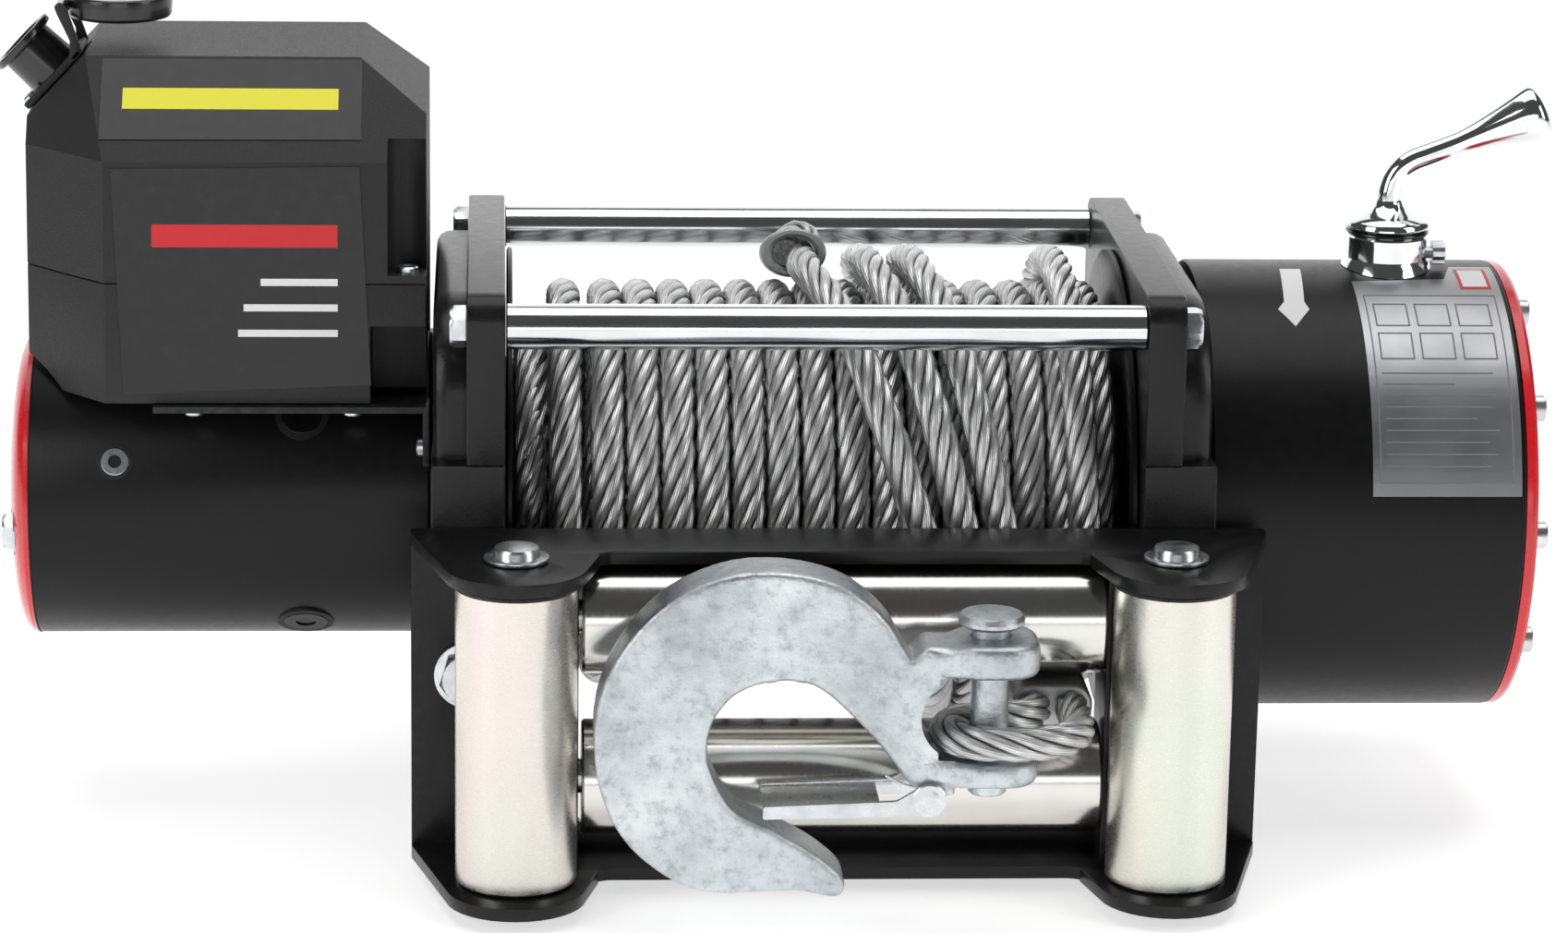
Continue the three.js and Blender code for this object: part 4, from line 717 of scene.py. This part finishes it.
# silver panel and arrow on the gearbox: curved patches on the can
def on_gear(name, pts, r0, r1, material, nx=1):
    """pts: outline in (x, degrees round the can from the rope side, up positive)"""
    verts, faces = [], []
    dense = []
    for i, (x, d) in enumerate(pts):
        x2, d2 = pts[(i + 1) % len(pts)]
        n = max(1, int(abs(d2 - d) / 3))
        for k in range(n): dense.append((x + (x2 - x) * k / n, d + (d2 - d) * k / n))
    ds = sorted({round(d, 3) for _, d in dense})
    rows = []
    for d in ds:
        xs = []
        for i, (x, dd) in enumerate(dense):
            x2, dd2 = dense[(i + 1) % len(dense)]
            if min(dd, dd2) - 2e-3 <= d <= max(dd, dd2) + 2e-3:
                if abs(dd2 - dd) < 5e-3: xs += [x, x2]
                else: xs.append(x + (x2 - x) * max(0.0, min(1.0, (d - dd) / (dd2 - dd))))
        rows.append((d, min(xs), max(xs)))
    bm = bmesh.new(); prev = None
    def P(x, d, r):
        t = math.radians(d); return bm.verts.new((x * MM, -r * math.cos(t) * MM, (AX + r * math.sin(t)) * MM))
    lines = []
    for d, x0, x1 in rows:
        lines.append([P(x0, d, r0), P(x0, d, r1), P(x1, d, r1), P(x1, d, r0)])
    for p_, q_ in zip(lines[:-1], lines[1:]):
        for k in range(4): bm.faces.new((p_[k], p_[(k + 1) % 4], q_[(k + 1) % 4], q_[k]))
    bm.faces.new(lines[0]); bm.faces.new(lines[-1][::-1])
    bmesh.ops.recalc_face_normals(bm, faces=bm.faces)
    me = bpy.data.meshes.new(name); bm.to_mesh(me); bm.free(); me.materials.append(material); shade(me, 30)
    return obj(name, me)
o = on_gear("gearbox_silver_panel", [(195.7, 11.2), (249.2, 11.2), (249.2, 87), (234, 87), (230, 78), (195.7, 76.5)], 82.55, 82.8, M_SILVER)
put(o, "frame", "gearbox_paint")
def strip_(x0, d0, x1, d1, m=M_LINE, r=0.0): return on_gear("l", [(x0, d0), (x1, d0), (x1, d1), (x0, d1)], 82.82 + r, 82.9 + r, m)
def frame_(x0, d0, x1, d1, w, m=M_LINE):
    wd = w / 82.6 * 57.3
    return [strip_(x0, d0, x1, d0 + wd, m), strip_(x0, d1 - wd, x1, d1, m), strip_(x0, d0 + wd, x0 + w, d1 - wd, m), strip_(x1 - w, d0 + wd, x1, d1 - wd, m)]
lines_ = frame_(198.2, 14.4, 246.4, 69.6, 0.5)
for d0 in (46.8, 57.4):
    for k in range(3): lines_ += frame_(200.8 + 15.0 * k, d0, 213.2 + 15.0 * k, d0 + 8.4, 0.6)
for d, w in ((42.6, 40), (39.6, 26), (36.6, 42), (33.4, 39), (30.4, 33), (27.4, 41), (24.4, 37), (21.4, 40), (18.4, 38)):
    lines_.append(strip_(200.6, d, 200.6 + w, d + 0.42))
put(join("gearbox_panel_lines", lines_), "frame", "gearbox_paint")
put(join("gearbox_panel_patch", [strip_(234.8, 72.6, 246.2, 84.6, M_REDP), strip_(236.0, 73.6, 245.0, 83.6, M_WHITE, 0.12)]), "frame", "gearbox_paint")
o = on_gear("gearbox_arrow", [(171.6, 57.3), (177.6, 63.6), (175.9, 63.6), (178.6, 85), (171.0, 85), (168.6, 63.6), (166.2, 63.6)], 82.55, 82.75, M_WHITE)
put(o, "frame", "gearbox_paint")

# -------------------------------------------------------------- fairlead
FX, FH = 5.0, 150.0
LX, RX, VY = FX - 113.3, FX + 113.3, -135.0
FT, FB = AX + 8, AX - 111.5
def flange(name, z0, z1):
    L, R = FX - FH, FX + FH
    pts = [(L, -93.4), (L, -99.4)]
    def lobe(cx, sgn):
        arc = [(cx + 24.5 * math.cos(math.radians(t)), VY - 6.5 + 24.5 * math.sin(math.radians(t))) for t in range(200, 341, 10)]
        return arc
    pts += lobe(LX, 1)
    pts += rnd([(LX + 25.2, -127, 4), (LX + 32, -124, 6), (RX - 32, -124, 6), (RX - 25.2, -127, 4)], 4)
    pts += lobe(RX, 1)
    pts += [(R, -99.4), (R, -93.4)]
    return prism(name, pts, "xy", z0, z1, M_SHEET, 0.7, 2, holes=[circle(LX, VY, 8.4, 28), circle(RX, VY, 8.4, 28)])
top_f = flange("flange_top", FT - 4.6, FT); bot_f = flange("flange_bottom", FB, FB + 4.6)
back = prism("back_plate", [(FX - FH, FB + 0.5), (FX + FH, FB + 0.5), (FX + FH, FT - 0.5), (FX - FH, FT - 0.5)], "xz", -98.2, -93.4, M_SHEET, 0.5, 2,
             holes=[rnd([(FX - 92.5, FB + 11, 6), (FX - 92.5, FT - 6, 6), (FX + 92.5, FT - 6, 6), (FX + 92.5, FB + 11, 6)], 5), circle(-124.9, 44, 6.6, 24), circle(124.9, 44, 6.6, 24)])
w1 = prism("web_l", [(-123, FB + 2), (-95, FB + 2), (-95, FT - 2), (-123, FT - 2)], "yz", FX - 95.3, FX - 91.7, M_SHEET, 0.6, 2)
w2 = prism("web_r", [(-123, FB + 2), (-95, FB + 2), (-95, FT - 2), (-123, FT - 2)], "yz", FX + 91.7, FX + 95.3, M_SHEET, 0.6, 2)
put(join("fairlead_sheet_frame", [top_f, bot_f, back, w1, w2]), "frame", "bracket_paint", "fairlead_frame")
for n, x in (("left", LX), ("right", RX)):
    z0, z1 = FB + 4.6 + 0.4, FT - 4.6 - 0.4 - 3.2
    r = lathe("roller_%s_nickel" % n, [(8.5, z0 + 1.2), (18.6, z0 + 1.2), (19.2, z0), (20.2, z0), (21, z0 + 0.9), (21, z1 - 0.9), (20.2, z1), (19.2, z1), (18.6, z1 - 1.2), (8.5, z1 - 1.2)], "z", (x, VY, 0), M_NICKEL, 120, 25, closed=True)
    put(r, "roller_%s" % n, "roller_nickel", "fairlead_roller_%s" % n)
    wsh = [lathe("w", [(8.6, a), (20.6, a), (21.2, a + 0.6), (21.2, a + 2.4), (20.6, a + 3.0), (8.6, a + 3.0)], "z", (x, VY, 0), M_HOLE, 72, closed=True) for a in (z1 + 0.3,)]
    pin = lathe("pin", [(0, FB - 4.4), (7.2, FB - 4.4), (8.05, FB - 3.6), (8.05, FT + 3.9), (7.4, FT + 5.0), (5.2, FT + 5.3), (0, FT + 5.35)], "z", (x, VY, 0), M_ZINC, 56, 40)
    pts = [(11.2 * math.cos(math.radians(t)), 11.2 * math.sin(math.radians(t))) for t in range(-50, 231, 10)] + [(7.9 * math.cos(math.radians(t)), 7.9 * math.sin(math.radians(t))) for t in range(230, -51, -10)]
    clips = [prism("clip", [(x + a * -1, VY + b * -1) for a, b in pts], "xy", zz, zz + 1.3, M_ZINC, 0.25, 2) for zz in (FT + 0.3, FB - 1.8)]
    put(join("fairlead_pin_%s_with_clips" % n, [pin] + clips + wsh), "frame", "pin_steel", "fairlead_pin_%s" % n)
for n, z in (("upper", AX - 17.8), ("lower", AX - 76.2)):
    r = lathe("roller_%s_bright" % n, [(6.6, -90.5), (19.2, -90.5), (20, -89.7), (20, 89.7), (19.2, 90.5), (6.6, 90.5)], "x", (FX, -114, z), M_HROLL, 120, 25, closed=True)
    put(r, "roller_%s" % n, "roller_chrome", "fairlead_roller_%s" % n)
    pn = lathe("pin_%s" % n, [(0, -97.3), (5.4, -97.3), (6.05, -96.7), (6.05, 96.7), (5.4, 97.3), (0, 97.3)], "x", (FX, -114, z), M_ZINC, 40)
    put(pn, "frame", "pin_steel", "fairlead_pin_%s" % n)
for n, x in (("left", -124.9), ("right", 124.9)):
    o = hex_bolt("fairlead_hex_%s" % n, (x, -98.3, 44), (0, -1, 0), 18, 7.4, M_ZINC, (6, 12.0, 1.6), 0.5)
    put(o, "frame", "zinc_fastener", "fairlead_bolt_%s" % n)

# ------------------------------------------------------------------ hook
PX, HY = 52.5, -158.0
def q_(u, v): return ((u - 530) * 0.3232 - 117.2, (800 - v) * 0.3375 - 50.3 + AX + 1.2)
outl = [q_(u, v) for u, v in ((970, 709), (948, 672), (920, 645), (893, 629), (857, 619), (822, 615.5), (786, 617.5), (750, 628), (715, 646), (685, 673), (661, 705), (646, 738), (638.5, 774), (639, 813.5),
    (645, 845), (657.5, 877), (675, 902.5), (699, 924), (727, 942), (754.5, 951), (786, 953), (825.5, 951), (853, 950), (873, 954), (893, 957.5), (902, 953), (904, 943), (897, 932), (879, 916.5),
    (857, 902.5), (835.5, 890.5), (821.5, 882.5), (806, 877), (790, 869), (778, 857), (766.5, 837), (758.5, 817.5), (756.5, 798), (760, 778), (768, 762), (782, 746), (798, 736.5), (818, 730.5), (841, 728.5), (865, 732.5),
    (885, 744.5), (904.5, 762), (924.5, 782), (944, 803.5), (960, 825.5), (970, 838), (982, 846), (1003, 850), (1020, 850))]
zU, zL = AX - 8.6, AX - 62.2
outl += [(40, zL), (40, zU - 5), (30, zU - 4.6)]
def densify(pts, n=3):
    P = [Vector(p) for p in pts]; m = len(P); res = []
    for i in range(m):
        p0, p1, p2, p3 = P[i - 1], P[i], P[(i + 1) % m], P[(i + 2) % m]
        sharp = i >= m - 4 or i == m - 5
        for k in range(n):
            t = k / n
            if sharp: res.append(tuple(p1.lerp(p2, t)))
            else: res.append(tuple(0.5 * ((2 * p1) + (p2 - p0) * t + (2 * p0 - 5 * p1 + 4 * p2 - p3) * t * t + (3 * p1 - p0 - 3 * p2 + p3) * t ** 3)))
    return res
body = prism("hb", densify(outl, 2), "xz", HY - 11, HY + 11, M_HOOK, 6.2, 5)
s0, s1 = ROPE_Z - 6.9, AX - 24
def ear(z0, z1): return prism("ear", rnd([(26, HY - 10), (PX - 6, HY - 16.4, 8), (PX + 16.6, HY - 16.4, 15), (PX + 16.6, HY + 16.4, 15), (PX - 6, HY + 16.4, 8), (26, HY + 10)], 8), "xy", z0, z1, M_HOOK, 3.6, 4)
eu = ear(s1 + 0.2, zU - 3.2)
for v in eu.data.vertices:
    if v.co.z > (s1 + 4) * MM and v.co.x < 45 * MM: v.co.z -= (0.045 - v.co.x) * 0.3
parts_ = [body, eu, ear(zL, s0 - 0.2)]
hk = join("hook_forging", parts_)
rm = hk.modifiers.new("fuse", "REMESH"); rm.mode = "VOXEL"; rm.voxel_size = 0.9 * MM
sm = hk.modifiers.new("soft", "SMOOTH"); sm.factor = 0.5; sm.iterations = 12
slot_c = boxo("s", PX - 9.6, 92, HY - 40, HY + 40, s0, s1)
slot_r = lathe("sr", [(0, HY - 40), ((s1 - s0) / 2, HY - 40), ((s1 - s0) / 2, HY + 40), (0, HY + 40)], "y", (PX - 9.6, 0, (s0 + s1) / 2), M_HOOK, 48)
way = lathe("w", [(0, s0), (21.2, s0), (21.2, s1), (0, s1)], "z", (PX, HY, 0), M_HOOK, 48)
pinh = lathe("ph", [(0, 0), (6.9, 0), (6.9, 110), (0, 110)], "z", (PX, HY, 0), M_HOOK, 32)
cutter(hk, slot_c, slot_r, way, pinh)
hk.data.materials.clear(); hk.data.materials.append(M_HOOK)
for p_ in hk.data.polygons: p_.material_index = 0
shade(hk.data, 32)
put(hk, "hook", "hook_zinc", "hook_body")
cp = lathe("clevis_pin_head", [(0, zL - 5.6), (5.8, zL - 5.6), (6.6, zL - 4.8), (6.6, zU + 0.6), (10.2, zU + 0.6), (11.3, zU + 1.7), (11.4, zU + 3.0), (10.4, zU + 4.6), (8.2, zU + 5.2), (0, zU + 5.3)], "z", (PX, HY, 0), M_HOOK, 64, 30)
put(cp, "hook", "pin_zinc", "clevis_pin")
# split pin under the lower ear
sp, _, _ = rope("split_pin", [Vector((PX - 9.5, HY - 1, zL - 3.4)), Vector((PX, HY, zL - 3.2)), Vector((PX + 9.5, HY + 1, zL - 3.6))], R=1.1, strands=1, step=1.5, material=M_ZINC)
put(sp, "hook", "pin_zinc")
def cheek(y0): return prism("ck", rnd([(-25, AX - 73.2, 0.8), (20, AX - 72.4, 4), (26, AX - 72.4, 4), (34, AX - 72.2, 5), (37.6, AX - 66.6, 4), (34, AX - 62.4, 4), (27.6, AX - 62.6, 3), (20.5, AX - 66.8, 3), (-25, AX - 68.6, 0.8)], 5), "xz", y0, y0 + 1.8, M_ZINC, 0.35, 2)
st = prism("stp", [(-24.9, AX - 70.6), (15, AX - 69.6), (15, AX - 67.9), (-24.9, AX - 68.9)], "xz", HY - 12.2, HY + 12.2, M_ZINC, 0.3, 2)
washer_ = lathe("rw", [(2.9, -13.9), (5.6, -13.9), (6.0, -13.6), (6.0, -13.15), (2.9, -13.15)], "y", (31.6, HY, AX - 66.6), M_ZINC, 40, 30, closed=True)
rv = lathe("rv", [(0, -14.2), (3.0, -14.2), (4.6, -13.7), (4.9, -12.9), (2.8, -12.9), (2.8, 12.9), (4.9, 12.9), (4.6, 13.7), (3.0, 14.2), (0, 14.2)], "y", (31.6, HY, AX - 66.6), M_ZINC, 40, 30)
put(join("hook_latch_pressing", [cheek(HY - 13.1), cheek(HY + 11.3), st, washer_, rv]), "latch", "latch_zinc", "hook_latch")
sprg, _, _ = rope("latch_spring_wire", [Vector((31.6, HY - 10.5, AX - 63.6)), Vector((27, HY - 11.9, AX - 62)), Vector((22, HY - 12.2, AX - 60.5)), Vector((16.5, HY - 11.8, AX - 58.0))], R=0.75, strands=1, step=1.0, material=M_ZINC)
put(sprg, "hook", "latch_zinc")

# -------------------------------------------------------- rope eye and sleeve
e = [Vector((71, -131.6, ROPE_Z)), Vector((70, -137, ROPE_Z)), Vector((64.5, -142.0, ROPE_Z))]
for k in range(7):
    t = math.radians(90 + 30 * k); e.append(Vector((PX + 14.4 * math.cos(t), HY + 14.4 * math.sin(t), ROPE_Z)))
e += [Vector((62, -172.6, ROPE_Z)), Vector((71, -171.4, ROPE_Z)), Vector((78.5, -166.5, ROPE_Z)), Vector((83.0, -158, ROPE_Z)), Vector((84, -146, ROPE_Z)), Vector((84, -131.6, ROPE_Z))]
eye, _, _ = rope("rope_eye_strands", e, R=6.0, phase=0.7, step=1.6)
put(eye, "frame", "wire_rope", "rope_eye")
es = prism("eye_sleeve_pressed", rnd([(63.4, ROPE_Z - 7.4, 7), (91.6, ROPE_Z - 7.4, 7), (91.6, ROPE_Z + 7.4, 7), (63.4, ROPE_Z + 7.4, 7)], 8), "xz", -130, -100, M_SLEEVE, 1.6, 3)
put(es, "frame", "crimp_zinc", "rope_eye_sleeve")

# ------------------------------------------------- remote socket and its cap
SNv = Vector((-22.7, 0, 21.5)).normalized(); STv = Vector((21.5, 0, 22.7)).normalized(); SBv = Vector((-272.3, 12, AX + 148))
def loc_(t, n): q = SBv + STv * t + SNv * n; return (q.x, q.z)
H = loc_(20.5, 17.5)
fl = prism("fl", [loc_(*q) for q in ((-14.2, 0.6), (14.4, 0.6), (14.4, 3.2), (-14.2, 3.2))], "xz", -2.6, 26.6, M_BOX, 0.8, 3)
ba = lathe("ba", [(0, 1), (10.6, 1), (10.6, 3.2), (10.2, 16.0), (12.6, 16.8), (12.9, 17.4), (12.9, 19.0), (12.5, 19.4), (9.8, 19.4), (9.4, 19.0), (9.2, 8), (0, 8)], SNv, SBv, M_RUB, 72, 30)
core_ = [lathe("pin", [(0, 7.9), (1.0, 7.9), (1.0, 13), (0.6, 13.6), (0, 13.7)], SNv, SBv + STv * (4.6 * math.cos(k)) + Vector((0, 1, 0)) * (4.6 * math.sin(k)), M_BRONZE, 16) for k in (0.5, 2.6, 4.7)]
cks = [prism("ck", [loc_(*q) for q in ((10, 0.8), (14.4, 0.8), (22.2, 15.6), (22.4, 18), (21.6, 19.2), (19.6, 19.2), (18.4, 17), (14.4, 7), (10, 3))], "xz", y0, y0 + 2.2, M_BOX, 0.5, 2) for y0 in (-2.6, 24.4)]
scr = [socket_head("s", SBv + STv * a + Vector((0, b, 0)) + SNv * 3.1, SNv, 2.3, 1.4, M_ZINC, 1.0, 0.7) for a, b in ((-11.2, -11.4), (-11.2, 11.4))]
put(join("remote_socket_moulding", [fl, ba] + core_ + cks + scr), "frame", "box_plastic", "remote_socket")
cp_ = lathe("cup", [(0, 20.0), (13.6, 20.0), (14.0, 19.6), (14.0, 15.0), (14.6, 14.3), (18.2, 14.2), (18.7, 14.7), (18.9, 16), (18.5, 21.2), (17.6, 22.2), (15, 22.9), (13.0, 23.0), (12.6, 22.7), (0, 22.7)], SNv, SBv, M_RUB, 96, 30)
er = prism("er", [loc_(*q) for q in ((15, 15.8), (22.0, 16.2), (22.2, 18.6), (15, 21))], "xz", 7.4, 16.6, M_RUB, 0.5, 2)
pn_ = lathe("pn", [(0, -0.1), (1.7, -0.1), (1.7, 24.1), (0, 24.1)], "y", (H[0], 0, H[1]), M_RUB, 24)
co = join("socket_cap_rubber", [cp_, er, pn_])
hv = Vector((H[0], 0, H[1])) * MM
co.data.transform(Matrix.Translation(hv) @ Matrix.Rotation(math.radians(226.5), 4, "Y") @ Matrix.Translation(-hv))
put(co, "cap", "rubber", "socket_cap")

# ----------------------------------------------- finishes on the CAD pieces left
FIN = {"drum_bushing_left": M_BRONZE, "drum_bushing_right": M_BRONZE, "motor_field_frame": M_COPPER, "motor_armature": M_COPPER, "drive_shaft": M_STEEL, "ring_gear": M_STEEL, "planet_carrier": M_STEEL,
       "planet_gear_1": M_STEEL, "planet_gear_2": M_STEEL, "planet_gear_3": M_STEEL, "clutch_lock_screw": M_ZINC, "clutch_plunger": M_STEEL, "contactor": M_BRONZE}
for n, m in FIN.items():
    o = frame["nodes"][n]
    o.data.materials.clear(); o.data.materials.append(m)

# ------------------------------------------------------------ room and light
def glow(name, col, glow_):
    m, nt, b = mat(name, col, 0.7)
    nt.links.new(mixcol(nt, noise(nt, coords(nt), 3, 3), tuple(c * 0.98 for c in col), col), b.inputs["Base Color"])
    b.inputs["Emission Color"].default_value = (1, 1, 1, 1); b.inputs["Emission Strength"].default_value = glow_
    return m
floor = obj("floor", bpy.data.meshes.new("floor"))
floor.data.from_pydata([(-5, -3, -0.0285), (5, -3, -0.0285), (5, 6.9, -0.0285), (-5, 6.9, -0.0285)], [], [(0, 1, 2, 3)])
floor.data.materials.append(glow("floor_white", (0.88, 0.88, 0.88), 0.60))
back = obj("backdrop", bpy.data.meshes.new("backdrop"))
back.data.from_pydata([(-9, 7, -3), (9, 7, -3), (9, 7, 8), (-9, 7, 8)], [], [(0, 1, 2, 3)])
back.data.materials.append(glow("backdrop_white", (0.9, 0.9, 0.9), 1.0))
w = bpy.data.worlds.new("studio"); bpy.context.scene.world = w; w.use_nodes = True
bg = w.node_tree.nodes["Background"]; bg.inputs["Color"].default_value = (1, 1, 1, 1); bg.inputs["Strength"].default_value = 0.07
def area(name, loc, target, size, power, sy=None):
    l = bpy.data.lights.new(name, "AREA"); l.energy = power; l.size = size
    if sy: l.shape = "RECTANGLE"; l.size_y = sy
    o = bpy.data.objects.new(name, l); bpy.context.scene.collection.objects.link(o)
    o.location = loc
    o.rotation_euler = (Vector(target) - Vector(loc)).to_track_quat("-Z", "Y").to_euler()
    return o
area("top_soft", (0, 0.1, 1.7), (0, 0, 0.1), 1.8, 15, 1.3)
area("left_soft", (-1.5, -1.1, 0.8), (0, 0, 0.1), 0.9, 11, 1.2)
area("right_soft", (1.5, -0.9, 0.8), (0, 0, 0.1), 0.7, 8, 1.2)
area("front_low", (-0.2, -1.9, 0.25), (0, 0, 0.05), 1.4, 3, 0.35)
sc_ = bpy.context.scene
sc_.view_settings.view_transform = "Standard"
